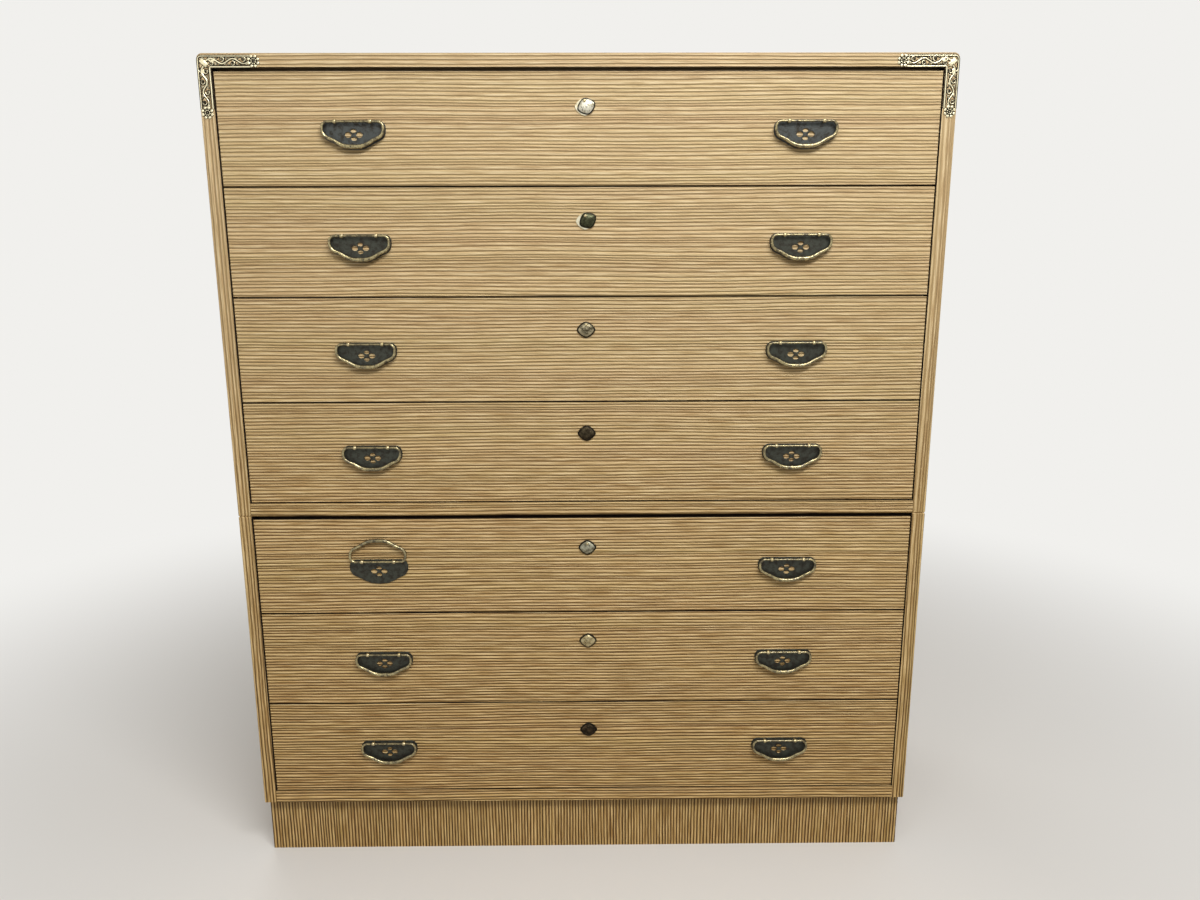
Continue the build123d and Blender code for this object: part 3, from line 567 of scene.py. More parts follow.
def brushed_wood(name, along, inside=None, lines=1.0, uneven=0.9):
    """Softwood brushed until its growth lines stand out, then waxed matt.

    Pale rounded ribs about 5 mm wide lie between thin dark lines, and fine fibres streak them. inside is
    an axis with the place beyond which the same board is only planed, as it is within the chest. lines is
    how broad and strong the growth lines are, and uneven is how much the ribs differ in width.
    """
    size = sizes("wood")
    material, tree = new_material(name)
    space, across, place = grain_space(tree, along)
    streak = {label: streaks(tree, space, *extent) for label, extent in STREAKS.items()}
    scales = {"mixed": uneven, "reach": size.line_width / 2 / size.rib_pitch * lines, "strength": lines}
    by_height = {}
    for label, (low, high, below, above) in UP_THE_CHEST.items():
        scale = scales.get(label, 1.0)
        ends = (low, high, below * scale, above * scale)
        by_height[label] = add(tree, "ShaderNodeMapRange", place.outputs["Z"], *ends)

    # Cells along one axis are the ribs, and their walls are the growth lines.
    bent = add(tree, "ShaderNodeMath", streak["wander"], size.sway, across, operation="MULTIPLY_ADD")
    bent = add(tree, "ShaderNodeMath", streak["tremble"], size.tremble, bent, operation="MULTIPLY_ADD")
    cells = {"W": bent, "Scale": 1 / size.rib_pitch, "Randomness": by_height["mixed"]}
    rib = add(tree, "ShaderNodeTexVoronoi", voronoi_dimensions="1D", feature="F1", named=cells)
    wall = add(tree, "ShaderNodeTexVoronoi", voronoi_dimensions="1D", feature="DISTANCE_TO_EDGE", named=cells)
    wall = wall.outputs["Distance"]
    # Painted shade: the growth lines are drawn broader towards the floor.
    line = add(tree, "ShaderNodeMapRange", wall, 0.0, by_height["reach"], 1.0, 0.0, **SMOOTH)
    fading = add(tree, "ShaderNodeMapRange", streak["fading"], 0.3, 0.6, 0.35, 1.0)
    line = add(tree, "ShaderNodeMath", line, fading, operation="MULTIPLY")

    # Fainter lines lie half as far apart between them.
    cells = {"W": bent, "Scale": 2.1 / size.rib_pitch, "Randomness": 1.0}
    thin = add(tree, "ShaderNodeTexVoronoi", voronoi_dimensions="1D", feature="DISTANCE_TO_EDGE", named=cells)
    thin = add(tree, "ShaderNodeMapRange", thin.outputs["Distance"], 0.0, 0.22, 1.0, 0.0)
    showing = add(tree, "ShaderNodeMapRange", streak["showing"], 0.42, 0.62, 0.0, 0.5 * uneven)
    thin = add(tree, "ShaderNodeMath", thin, showing, operation="MULTIPLY")
    line = add(tree, "ShaderNodeMath", line, thin, operation="MAXIMUM")
    # Painted shade: the growth lines are made darker towards the floor.
    line = add(tree, "ShaderNodeMath", line, by_height["strength"], operation="MULTIPLY", use_clamp=True)

    # Single ribs, fibres and pores are darker than the bands that they lie in.
    band = add(tree, "ShaderNodeMapRange", streak["band"], 0.35, 0.65, 0.0, 1.0)
    tint = add(tree, "ShaderNodeMix", band, size.blush, size.straw, data_type="RGBA")
    dark = add(tree, "ShaderNodeSeparateColor", rib.outputs["Color"]).outputs["Red"]
    dark = add(tree, "ShaderNodeMath", dark, 0.3, streak["fibre"], operation="MULTIPLY_ADD")
    dark = add(tree, "ShaderNodeMath", streak["pore"], 0.5, dark, operation="MULTIPLY_ADD")
    dark = add(tree, "ShaderNodeMapRange", dark, 0.65, 1.2, 0.0, 0.9)
    finish = add(tree, "ShaderNodeMix", dark, tint, size.shade, data_type="RGBA")

    # The brush wore the soft wood away beside each hard line and left the ribs rounded, with pale crests.
    # Their pale colour is partly rubbed wood and partly a painted highlight of light from above, and near the
    # floor it is painted paler still as painted light.
    profile = add(tree, "ShaderNodeMapRange", wall, 0.0, 0.4, 0.0, 1.0, **SMOOTH)
    crest = add(tree, "ShaderNodeMapRange", profile, by_height["crest"], 1.0, 0.0, 1.0)
    rubbed = add(tree, "ShaderNodeMapRange", streak["fibre"], 0.35, 0.6, 1.0, 0.1)
    crest = add(tree, "ShaderNodeMath", crest, rubbed, operation="MULTIPLY")
    pale = add(tree, "ShaderNodeMix", by_height["daylight"], size.low_crest, size.crest, data_type="RGBA")
    finish = add(tree, "ShaderNodeMix", crest, finish, pale, data_type="RGBA")
    finish = add(tree, "ShaderNodeMix", line, finish, size.line, data_type="RGBA")

    # Painted light: a pale sheen of light from above is painted over the upper drawers, and a warmer, darker
    # shade near the floor.
    painted_warm_shade = {"data_type": "RGBA", "blend_type": "MULTIPLY"}
    finish = add(tree, "ShaderNodeMix", by_height["painted_warm_shade"], finish, size.painted_warm_shade, **painted_warm_shade)
    finish = add(tree, "ShaderNodeMix", by_height["painted_sheen"], finish, size.painted_sheen, data_type="RGBA")
    height = add(tree, "ShaderNodeMath", streak["fibre"], 0.2, profile, operation="MULTIPLY_ADD")
    if inside:
        axis, limit = inside
        away = add(tree, "ShaderNodeMath", place.outputs[axis], operation="ABSOLUTE")
        hidden = add(tree, "ShaderNodeMath", away, limit, operation="LESS_THAN")
        # Painted shade: hidden wood just behind the fronts' edges is painted near black, standing in for the
        # shade in the gaps.
        recess = add(tree, "ShaderNodeMath", place.outputs["Y"], SHADED_TO, operation="LESS_THAN")
        bare = add(tree, "ShaderNodeMix", recess, bare_colour(tree, space), size.painted_shade, data_type="RGBA")
        finish = add(tree, "ShaderNodeMix", hidden, finish, bare, data_type="RGBA")
        shown = add(tree, "ShaderNodeMath", 1.0, hidden, operation="SUBTRACT")
        height = add(tree, "ShaderNodeMath", height, shown, operation="MULTIPLY")
    relief = add(tree, "ShaderNodeBump", named={"Height": height, "Distance": size.rib_depth})
    dull = add(tree, "ShaderNodeMapRange", streak["fibre"], 0.3, 0.7, 0.45, 0.65)
    look = {"Base Color": finish, "Roughness": dull, "Normal": relief, "IOR": 1.5, "Specular IOR Level": 0.3}
    return shaded(material, look)


def bare_colour(tree, space):
    """Colour of planed light wood: faint growth lines 4 mm apart and half-millimetre pores."""
    size = sizes("wood")
    grain = add(tree, "ShaderNodeMath", streaks(tree, space, 300, 4.0, 2.0), 0.7, operation="MULTIPLY")
    pores = add(tree, "ShaderNodeMath", streaks(tree, space, 14, 0.6), 0.3, grain, operation="MULTIPLY_ADD")
    shade = add(tree, "ShaderNodeMapRange", pores, 0.35, 0.68, 0.0, 1.0)
    return add(tree, "ShaderNodeMix", shade, size.bare, size.bare_grain, data_type="RGBA")


def planed_wood(name, along, turned=None):
    """Light drawer wood, planed and left bare: faint straight grain and a dry, even surface.

    Behind the depth turned the grain runs from side to side, as in the back board of a drawer.
    """
    material, tree = new_material(name)
    space, _, place = grain_space(tree, along)
    if turned:
        behind = add(tree, "ShaderNodeMath", place.outputs["Y"], turned, operation="GREATER_THAN")
        space = add(tree, "ShaderNodeMix", behind, space, grain_space(tree, "X")[0], data_type="VECTOR")
    pores = streaks(tree, space, 40, 1.2)
    relief = add(tree, "ShaderNodeBump", named={"Height": pores, "Distance": 0.1 * MM})
    look = {"Base Color": bare_colour(tree, space), "Normal": relief}
    return shaded(material, {**look, "Roughness": 0.68, "Specular IOR Level": 0.25})


def mottled(tree, place, coarse_mm, fine_mm):
    """Cloudy noise of two sizes, from 0 to 1."""
    clouds = add(tree, "ShaderNodeTexNoise", place, named={"Scale": 1000 / coarse_mm, "Detail": 3.0})
    specks = add(tree, "ShaderNodeTexNoise", place, named={"Scale": 1000 / fine_mm, "Detail": 2.0})
    blend = add(tree, "ShaderNodeMath", specks.outputs["Fac"], 0.35, operation="MULTIPLY")
    blend = add(tree, "ShaderNodeMath", clouds.outputs["Fac"], 0.65, blend, operation="MULTIPLY_ADD")
    return add(tree, "ShaderNodeMapRange", blend, 0.36, 0.64, 0.0, 1.0)


def seen_directly(tree):
    """1 for what the camera sees, also in a mirror or through glass."""
    path = add(tree, "ShaderNodeLightPath").outputs
    seen = add(tree, "ShaderNodeMath", path["Is Camera Ray"], path["Is Glossy Ray"], operation="MAXIMUM")
    return add(tree, "ShaderNodeMath", seen, path["Is Transmission Ray"], operation="MAXIMUM")


def patinated_metal(name, bright, dark, metallic, rough, share=0.5, pit=0.06, wax=0.0, darkened_to=None):
    """Metal with a chemical patina: two tones in clouds a few millimetres across, and fine pits.

    The brighter tone is where hands have rubbed it. share is how much of the surface is bright, pit is the
    depth of the pits in millimetres, and wax is how much old wax and handling polish cover it. The last
    argument
    darkens the metal by depth: the y left undarkened, the y where the dark is whole, and how much it covers.
    On the bails this is painted shade and dark reflection on the sides and back of the tube; round the covers
    it darkens the rim next to the plate. Pits hold grime there too.
    """
    material, tree = new_material(name)
    place = add(tree, "ShaderNodeTexCoord").outputs["Object"]
    clouds = mottled(tree, place, 7.0, 1.3)
    worn = add(tree, "ShaderNodeMapRange", clouds, 1.0 - share - 0.3, 1.0 - share + 0.3, 0.0, 1.0)
    finish = add(tree, "ShaderNodeMix", worn, dark, bright, data_type="RGBA")
    if darkened_to:
        # Painted shade: the metal darkens by depth; on the bails this is painted shade and dark reflection on
        # the sides and back of the tube.
        undarkened, deep, cover = darkened_to
        depth = add(tree, "ShaderNodeSeparateXYZ", place).outputs["Y"]
        low = add(tree, "ShaderNodeMapRange", depth, undarkened, deep, 0.0, cover)
        specks = add(tree, "ShaderNodeTexNoise", place, named={"Scale": 1 / (2.4 * MM), "Detail": 1.0})
        pits = add(tree, "ShaderNodeMapRange", specks.outputs["Fac"], 0.58, 0.64, 0.0, 0.9 * share)
        grime_and_shade = add(tree, "ShaderNodeMath", low, pits, operation="MAXIMUM")
        finish = add(tree, "ShaderNodeMix", grime_and_shade, finish, sizes("locks").grime_and_shade, data_type="RGBA")
    relief = add(tree, "ShaderNodeBump", named={"Height": clouds, "Distance": pit * MM})
    gloss = add(tree, "ShaderNodeMapRange", worn, 0.0, 1.0, rough + 0.14, rough)
    look = {"Base Color": finish, "Roughness": gloss, "Normal": relief, "Metallic": metallic}
    return shaded(material, {**look, "Coat Weight": wax, "Coat Roughness": 0.12})


def darkening_from(pivot, darkening):
    """The depths of the darkening in metres, for a piece whose pivot lies at this depth."""
    undarkened, deep, cover = darkening
    return pivot + undarkened * MM, pivot + deep * MM, cover


def blackened_tracery(name, base, rise):
    """Cast brass, blackened and then polished on its crests: bright on top, near black down the flanks."""
    size = sizes("mounts")
    material, tree = new_material(name)
    place = add(tree, "ShaderNodeTexCoord").outputs["Object"]
    depth = add(tree, "ShaderNodeSeparateXYZ", place).outputs["Y"]
    clouds = mottled(tree, place, 9.0, 1.6)
    raised = add(tree, "ShaderNodeMapRange", depth, base, base - rise, 0.0, 1.0)
    bright = add(tree, "ShaderNodeMath", clouds, 0.2, raised, operation="MULTIPLY_ADD")
    bright = add(tree, "ShaderNodeMapRange", bright, 0.6, 0.85, 0.0, 1.0)
    finish = add(tree, "ShaderNodeMix", bright, size.ground, size.crest, data_type="RGBA")
    relief = add(tree, "ShaderNodeBump", named={"Height": clouds, "Distance": 0.05 * MM})
    return shaded(material, {"Base Color": finish, "Normal": relief, "Metallic": 0.85, "Roughness": 0.34})


# ---- shapes ------------------------------------------------------------------------------------


def finished(shape, name, smooth=True, in_millimetres=False):
    """A shape as a mesh with its faces turned outwards. One in millimetres is scaled and merged first."""
    if in_millimetres:
        bmesh.ops.scale(shape, vec=(MM, MM, MM), verts=shape.verts)
        bmesh.ops.remove_doubles(shape, verts=shape.verts, dist=0.001 * MM)
    bmesh.ops.recalc_face_normals(shape, faces=shape.faces)
    for face in shape.faces:
        face.smooth = smooth
    mesh = bpy.data.meshes.new(name)
    shape.to_mesh(mesh)
    shape.free()
    return mesh


def bridged(shape, rows, closed=True):
    """Fills between each row of points and the next. A closed row's last point joins its first."""
    for low, high in zip(rows, rows[1:]):
        for index in range(len(low) if closed else len(low) - 1):
            after = (index + 1) % len(low)
            shape.faces.new((low[index], low[after], high[after], high[index]))


def revolved(profile, segments, ring=False):
    """A shape turned about X from (x, radius) points in millimetres. A ring's profile closes on itself."""
    shape = bmesh.new()
    rows = []
    for index in range(segments):
        angle = math.tau * index / segments
        rows.append([shape.verts.new((x, r * math.cos(angle), r * math.sin(angle))) for x, r in profile])
    bridged(shape, rows + rows[:1], closed=ring)
    return finished(shape, "turned", in_millimetres=True)


def prism(outline, half_width):
    """A bar with this outline (y, z), in millimetres, that reaches as far to either side in x."""
    shape = bmesh.new()
    face = shape.faces.new([shape.verts.new((-half_width * MM, y * MM, z * MM)) for y, z in outline])
    grown_faces = bmesh.ops.extrude_face_region(shape, geom=[face])["geom"]
    moved = [item for item in grown_faces if isinstance(item, bmesh.types.BMVert)]
    bmesh.ops.translate(shape, vec=(2 * half_width * MM, 0, 0), verts=moved)
    return finished(shape, "prism", smooth=False)


def bevelled(mesh, width):
    """The mesh with its sharp edges rounded off."""
    host = linked("bevelled", mesh)
    bevel = host.modifiers.new("Bevel", "BEVEL")
    bevel.width = width
    bevel.segments = 2
    bevel.limit_method = "ANGLE"
    bevel.angle_limit = math.radians(40)
    return plain_mesh(host)


def placed(mesh, matrix):
    mesh.transform(matrix)
    return mesh


def places_mesh(places):
    """Points for repeats: each is x, y, z, the turn about Y in degrees, and the size."""
    mesh = bpy.data.meshes.new("places")
    mesh.from_pydata([place[:3] for place in places], [], [])
    for label, column in (("turn", 3), ("size", 4)):
        values = mesh.attributes.new(label, "FLOAT", "POINT").data
        for value, place in zip(values, places):
            value.value = math.radians(place[column]) if label == "turn" else place[column]
    return mesh


def ended(tree, shape, metal):
    """Ends a Geometry Nodes tree: its copies are made real and given their metal."""
    real = add(tree, "GeometryNodeRealizeInstances", shape)
    add(tree, "NodeGroupOutput", add(tree, "GeometryNodeSetMaterial", real, named={"Material": metal}))
    return tree


def smooth_whole(tree, shapes):
    """Several shapes of a Geometry Nodes tree as one, shaded smooth."""
    both = add(tree, "GeometryNodeJoinGeometry")
    for shape in shapes:
        feed(tree, both.inputs["Geometry"], shape)
    return add(tree, "GeometryNodeSetShadeSmooth", both)


def repeat_tree():
    """Sets a copy of one part at each point, turned and sized by the point's own attributes."""
    tree, given = geometry_tree("Repeat at places", part="NodeSocketObject", metal="NodeSocketMaterial")
    part = add(tree, "GeometryNodeObjectInfo", given["Part"]).outputs["Geometry"]
    turn = add(tree, "GeometryNodeInputNamedAttribute", "turn", data_type="FLOAT")
    size = add(tree, "GeometryNodeInputNamedAttribute", "size", data_type="FLOAT")
    about_y = add(tree, "ShaderNodeCombineXYZ", 0.0, turn, 0.0)
    copies = {"Points": given["Geometry"], "Instance": part, "Rotation": about_y, "Scale": size}
    return ended(tree, add(tree, "GeometryNodeInstanceOnPoints", named=copies), given["Metal"])


def repeated(tree, part_mesh, places, material):
    """One mesh with a part repeated at the places."""
    part = linked("part", part_mesh)
    mesh = grown(linked("places", places_mesh(places)), tree, part=part, metal=material)
    bpy.data.objects.remove(part)
    return mesh


def line_mesh(lines, label):
    """Open lines of (x, z, value) in metres as edges in the XZ plane, with the value as a point attribute."""
    mesh = bpy.data.meshes.new("lines")
    points, edges, amounts = [], [], []
    for line in lines:
        first = len(points)
        points += [(x, 0.0, z) for x, z, _ in line]
        amounts += [amount for _, _, amount in line]
        edges += [(index, index + 1) for index in range(first, len(points) - 1)]
    mesh.from_pydata(points, edges, [])
    for target, amount in zip(mesh.attributes.new(label, "FLOAT", "POINT").data, amounts):
        target.value = amount
    return mesh


def bail_tree():
    """Sweeps a forged bar that swells towards the grip round the bail's line, and adds the straight bar."""
    measures = dict.fromkeys(("end", "cheek", "grip", "bar", "bar_end", "hammer", "seed"), 0.0)
    tree, given = geometry_tree("Forged bail", **measures, metal="NodeSocketMaterial")
    rounding = add(tree, "GeometryNodeInputNamedAttribute", "rounding", data_type="FLOAT")
    line = add(tree, "GeometryNodeMeshToCurve", given["Geometry"])
    line = add(tree, "GeometryNodeFilletCurve", line, 9, rounding, True, mode="POLY")
    line = add(tree, "GeometryNodeResampleCurve", line, None, 1.1 * MM, mode="LENGTH")
    share = add(tree, "ShaderNodeMath", add(tree, "GeometryNodeSplineParameter"), 0.5, operation="PINGPONG")
    swell = add(tree, "ShaderNodeMath", given["Grip"], given["Cheek"], operation="SUBTRACT")
    swell = add(tree, "ShaderNodeMapRange", share, BAIL_CHEEK_SHARE, 0.5, 0.0, swell, **SMOOTH)
    radius = add(tree, "ShaderNodeMapRange", share, 0.0, BAIL_CHEEK_SHARE, given["End"], given["Cheek"])
    radius = add(tree, "ShaderNodeMath", radius, swell, operation="ADD")
    rim = add(tree, "GeometryNodeCurvePrimitiveCircle", 16, 1.0)
    loop = add(tree, "GeometryNodeCurveToMesh", line, rim, radius, True)

    # Hammer marks about 5 mm long.
    marks = {"W": given["Seed"], "Scale": 1 / (5 * MM), "Detail": 1.0}
    marks = add(tree, "ShaderNodeTexNoise", noise_dimensions="4D", named=marks)
    marks = add(tree, "ShaderNodeMapRange", marks, 0.25, 0.75, -1.0, 0.4)
    marks = add(tree, "ShaderNodeMath", marks, given["Hammer"], operation="MULTIPLY")
    outwards = add(tree, "GeometryNodeInputNormal")
    move = add(tree, "ShaderNodeVectorMath", outwards, operation="SCALE", named={"Scale": marks})
    loop = add(tree, "GeometryNodeSetPosition", loop, named={"Offset": move})

    left = add(tree, "ShaderNodeMath", given["Bar end"], -1.0, operation="MULTIPLY")
    left = add(tree, "ShaderNodeCombineXYZ", left, 0.0, 0.0)
    right = add(tree, "ShaderNodeCombineXYZ", given["Bar end"], 0.0, 0.0)
    bar = add(tree, "GeometryNodeCurvePrimitiveLine", left, right)
    rim = add(tree, "GeometryNodeCurvePrimitiveCircle", 16, given["Bar"])
    bar = add(tree, "GeometryNodeCurveToMesh", bar, rim, 1.0, True)
    return ended(tree, smooth_whole(tree, (loop, bar)), given["Metal"])


def tracery_tree():
    """Lays half-round strips on a low web, flat at the back, along lines that carry their own half width."""
    tree, given = geometry_tree("Cast tracery", rise=0.0, web=0.0, web_rise=0.0, metal="NodeSocketMaterial")
    line = add(tree, "GeometryNodeMeshToCurve", given["Geometry"])
    line = add(tree, "GeometryNodeResampleCurve", line, None, 0.9 * MM, mode="LENGTH")
    width = add(tree, "GeometryNodeInputNamedAttribute", "half_width", data_type="FLOAT").outputs[0]
    wide = add(tree, "ShaderNodeMath", width, given["Web"], operation="ADD")
    strips = []
    for half, rise in ((width, given["Rise"]), (wide, given["Web rise"])):
        rim = add(tree, "GeometryNodeCurvePrimitiveCircle", 12, 1.0)
        strip = add(tree, "GeometryNodeCurveToMesh", line, rim, half, True)
        # The round strip is squeezed to the given rise and cut off flat behind.
        place = add(tree, "ShaderNodeSeparateXYZ", add(tree, "GeometryNodeInputPosition"))
        front = add(tree, "ShaderNodeMath", place.outputs["Y"], 0.0, operation="MINIMUM")
        front = add(tree, "ShaderNodeMath", front, rise, operation="MULTIPLY")
        flat = add(tree, "ShaderNodeCombineXYZ", place.outputs["X"], front, place.outputs["Z"])
        strips.append(add(tree, "GeometryNodeSetPosition", strip, named={"Position": flat}))
    return ended(tree, smooth_whole(tree, strips), given["Metal"])


def plate_outline(margin_mm):
    """Edge of a back plate, clockwise: the bail's line with its lower corners moved down, and a margin."""
    right = [(x, z - (PLATE_DROP if z else 0.0), r) for x, z, r in BAIL_CORNERS]
    return widened(rounded([(-x, z, r) for x, z, r in reversed(right)] + right, close=True), margin_mm)


def petal(x, z, width_mm, height_mm, count=10):
    """A pointed round opening about x and z, as a closed outline in millimetres."""
    outline = []
    for index in range(2 * count):
        share = index / (2 * count) * math.tau
        along = math.cos(share) * width_mm / 2
        side = math.copysign(abs(math.sin(share)) ** 1.15, math.sin(share)) * height_mm / 2
        outline.append(Vector((x, z)) + Vector((along, side)))
    return outline


def diamond(width_mm, height_mm, count=48, swell=1.5):
    """A diamond with rounded corners and slightly swollen sides, clockwise, in millimetres."""
    outline = []
    for index in range(count):
        angle = -math.tau * index / count
        c, s = math.cos(angle), math.sin(angle)
        reach = (abs(c) ** swell + abs(s) ** swell) ** (-1 / swell)
        outline.append(Vector((c * reach * width_mm / 2, s * reach * height_mm / 2)))
    return outline


def circle(middle, radius, count=24):
    """Points of a circle about its middle, clockwise."""
    angles = [-math.tau * index / count for index in range(count)]
    return [middle + Vector((radius * math.cos(angle), radius * math.sin(angle))) for angle in angles]


def in_metres(outline):
    return [point * MM for point in outline]


def dome(outline, levels):
    """A raised cover. levels are (share of the outline, height in millimetres) from the rim inwards."""
    shape = bmesh.new()
    rings = []
    for share, height in levels:
        rings.append([shape.verts.new((x * share, -height, z * share)) for x, z in outline])
    bridged(shape, rings)
    tip = shape.verts.new((0.0, -levels[-1][1] - 0.04, 0.0))
    for index in range(len(outline)):
        shape.faces.new((rings[-1][index], rings[-1][(index + 1) % len(outline)], tip))
    shape.faces.new(rings[0])
    return finished(shape, "dome", in_millimetres=True)


def leaf(length_mm, width_mm, rise_mm, rows=9, columns=6):
    """A domed leaf from the origin out along X, flat behind, with a sunk middle vein."""
    shape = bmesh.new()
    grid = []
    for row in range(rows + 1):
        share = row / rows
        half = width_mm / 2 * math.sin(math.pi * share**0.85) ** 0.8
        line = []
        for column in range(columns + 1):
            side = 2 * column / columns - 1
            height = rise_mm * (1 - side**2) ** 0.5 * math.sin(math.pi * share) ** 0.4
            height -= 0.45 * rise_mm * math.exp(-((side / 0.22) ** 2)) * math.sin(math.pi * share)
            line.append(shape.verts.new((share * length_mm, -max(height, 0.0), side * half)))
        grid.append(line)
    for low, high in zip(grid, grid[1:]):
        for column in range(columns):
            shape.faces.new((low[column], high[column], high[column + 1], low[column + 1]))
    edges = [edge for edge in shape.edges if edge.is_boundary]
    sunk = bmesh.ops.extrude_edge_only(shape, edges=edges)["geom"]
    back = [item for item in sunk if isinstance(item, bmesh.types.BMVert)]
    bmesh.ops.translate(shape, vec=(0, 0.12 * rise_mm, 0), verts=back)
    bmesh.ops.contextual_create(shape, geom=[e for e in shape.edges if e.is_boundary])
    return finished(shape, "leaf", in_millimetres=True)


def lock_case_mesh(low, high, bolt_low, bolt_high):
    """A lock case: a block with the bolt's channel sunk into its top."""
    shape = bmesh.new()
    room = Vector((1, 1, 1)) * BOLT_ROOM * MM
    inner_low, inner_high = bolt_low - room, bolt_high + room
    rings = []
    for start, end, z in (
        (low, high, low.z),
        (low, high, high.z),
        (inner_low, inner_high, high.z),
        (inner_low, inner_high, inner_low.z),
    ):
        corners = ((start.x, start.y), (end.x, start.y), (end.x, end.y), (start.x, end.y))
        rings.append([shape.verts.new((x, y, z)) for x, y in corners])
    bridged(shape, rings)
    shape.faces.new(rings[0])
    shape.faces.new(rings[-1])
    return finished(shape, "case", smooth=False)


# ---- corner mounts -----------------------------------------------------------------------------


def vine(length_mm, middle, start, swing, waves, half_width):
    """A wavy stem along a leg: points (along, across, half width) in millimetres."""
    line = []
    for index in range(41):
        share = index / 40
        across = middle + swing * math.sin(math.tau * waves * share)
        line.append((start + (length_mm - start) * share, across, half_width * (1.15 - 0.4 * share)))
    return line


def tendril(along, across, radius, turn, hand, half_width):
    """A curl that leaves the stem and winds in on itself."""
    line = []
    for index in range(19):
        share = index / 18
        angle = math.radians(turn) + hand * share * math.radians(430)
        reach = radius * (1 - 0.72 * share)
        x, y = along + reach * math.cos(angle), across + reach * math.sin(angle)
        line.append((x, y, half_width * (1 - 0.45 * share)))
    return line


def leg_tracery(length_mm, width_mm):
    """Lines and sprigs of one leg, along x from the corner, with the leg's outer edge at y = 0."""
    stem = sizes("mounts").stem / MM
    start, end, middle = width_mm - VINE_START, length_mm - 1.7 * FLOWER_REACH, -width_mm / 2
    lines = [vine(end, middle, start, VINE_SWING, VINE_WAVES, stem)]
    sprigs = []
    for index in range(2 * VINE_WAVES):
        along = start + (end - start) / (2 * VINE_WAVES) * (index + 0.5)
        up = 1 if index % 2 else -1
        lines.append(tendril(along, middle + up * CURL_OUT, CURL_RADIUS, -90 * up, up, THIN * stem))
        for ahead, out, facing, turn, scale in LEG_SPRIGS:
            sprigs.append((along + ahead, middle + up * out, facing + up * turn, scale))
    return lines, sprigs


def mount_strokes():
    """Lines (x, z, half width) and sprigs (x, z, turn, size) of the left mount, from its outer corner."""
    stem = sizes("mounts").stem / MM
    strokes, sprigs = leg_tracery(MOUNT_ACROSS, MOUNT_TOP_W)
    lines, leaves = leg_tracery(MOUNT_DOWN, MOUNT_SIDE_W)
    strokes += [[(-v, -u, w) for u, v, w in line] for line in lines]
    sprigs += [(-v, -u, -90 - turn, scale) for u, v, turn, scale in leaves]
    inset, inner_x, inner_z = BORDER_INSET, MOUNT_SIDE_W - INNER_INSET, INNER_INSET - MOUNT_TOP_W
    far_x, far_z = MOUNT_ACROSS - 1.5 * FLOWER_REACH, 1.5 * FLOWER_REACH - MOUNT_DOWN
    outer = rounded([(far_x, -inset, 0), (inset, -inset, 5.0), (inset, far_z, 0)], close=False)
    inner = rounded([(far_x, inner_z, 0), (inner_x, inner_z, 1.5), (inner_x, far_z, 0)], close=False)
    strokes += [[(p.x, p.y, THIN * stem) for p in outer], [(p.x, p.y, stem) for p in inner]]
    strokes += [tendril(*curl, THIN * stem) for curl in CORNER_CURLS]
    sprigs += CORNER_SPRIGS
    return strokes, sprigs


def mount_mesh(tree, repeats, material):
    """The left mount with its outer corner at the origin, standing in the XZ plane."""
    strokes, sprigs = mount_strokes()
    flowers = [(MOUNT_ACROSS - FLOWER_REACH, -MOUNT_TOP_W / 2), (MOUNT_SIDE_W / 2, FLOWER_REACH - MOUNT_DOWN)]
    petals, stamens = [], []
    for u, v in flowers:
        for index in range(PETALS):
            turn = 360 / PETALS * (index + 0.5)
            out = Matrix.Rotation(math.radians(turn), 2) @ Vector((1.0, 0.0))
            petals.append((u + PETAL_OUT * out.x, v + PETAL_OUT * out.y, turn, 1.0))
            stamens.append((u + STAMEN_OUT * out.x, v + STAMEN_OUT * out.y, turn, 1.0))
        strokes.append([(u + side, v, BOSS_RADIUS) for side in (-0.2, 0.2)])
    metres = [[(u * MM, v * MM, w * MM) for u, v, w in line] for line in strokes]
    lines = linked("lines", line_mesh(metres, "half_width"))
    parts = [grown(lines, tree, rise=1.0, web=sizes("mounts").web, web_rise=WEB_RISE, metal=material)]
    for part, spots in ((SPRIG, sprigs), (PETAL, petals), (STAMEN, stamens)):
        spots = [(u * MM, 0.0, v * MM, -turn, scale) for u, v, turn, scale in spots]
        parts.append(repeated(repeats, leaf(*part), spots, material))
    forward = Matrix.Translation((0, -DISC_THICKNESS / 2 * MM, 0))
    for flower in flowers:
        edge = in_metres(circle(Vector(flower), DISC_RADIUS))
        disc = sheet_metal([edge], DISC_THICKNESS * MM, DISC_BEVEL * MM)
        parts.append(with_material(placed(disc, forward @ UPRIGHT), material))
    return joined(parts)


# ---- operators ---------------------------------------------------------------------------------


class Make:
    bl_options = {"REGISTER", "UNDO"}


class CHEST_OT_case_wood(Make, bpy.types.Operator):
    """Finishes the boards of both cases and the plinth"""

    bl_idname = "chest.case_wood"
    bl_label = "Case wood"

    def execute(self, context):
        upright = brushed_wood("Brushed softwood, upright grain", "Z", inside=("X", INSIDE_SIDES))
        plinth = brushed_wood("Brushed softwood, upright plinth grain", "Z", lines=1.2, uneven=0.4)
        top = brushed_wood("Brushed softwood, top board", "X", inside=("Z", UNDER_TOP))
        rail = brushed_wood("Brushed softwood, rails", "X", inside=("Y", BEHIND_RAILS))
        bare = planed_wood("Planed softwood, inner boards", "X")
        back = planed_wood("Planed softwood, back panels", "Z")
        for case in ("upper", "lower"):
            dress(f"{case}_side_panels", upright)
            dress(f"{case}_bottom_board", rail)
            dress(f"{case}_dust_boards", bare)
            dress(f"{case}_back_panel", back)
        dress("upper_top_board", top)
        dress("plinth", plinth)
        return {"FINISHED"}


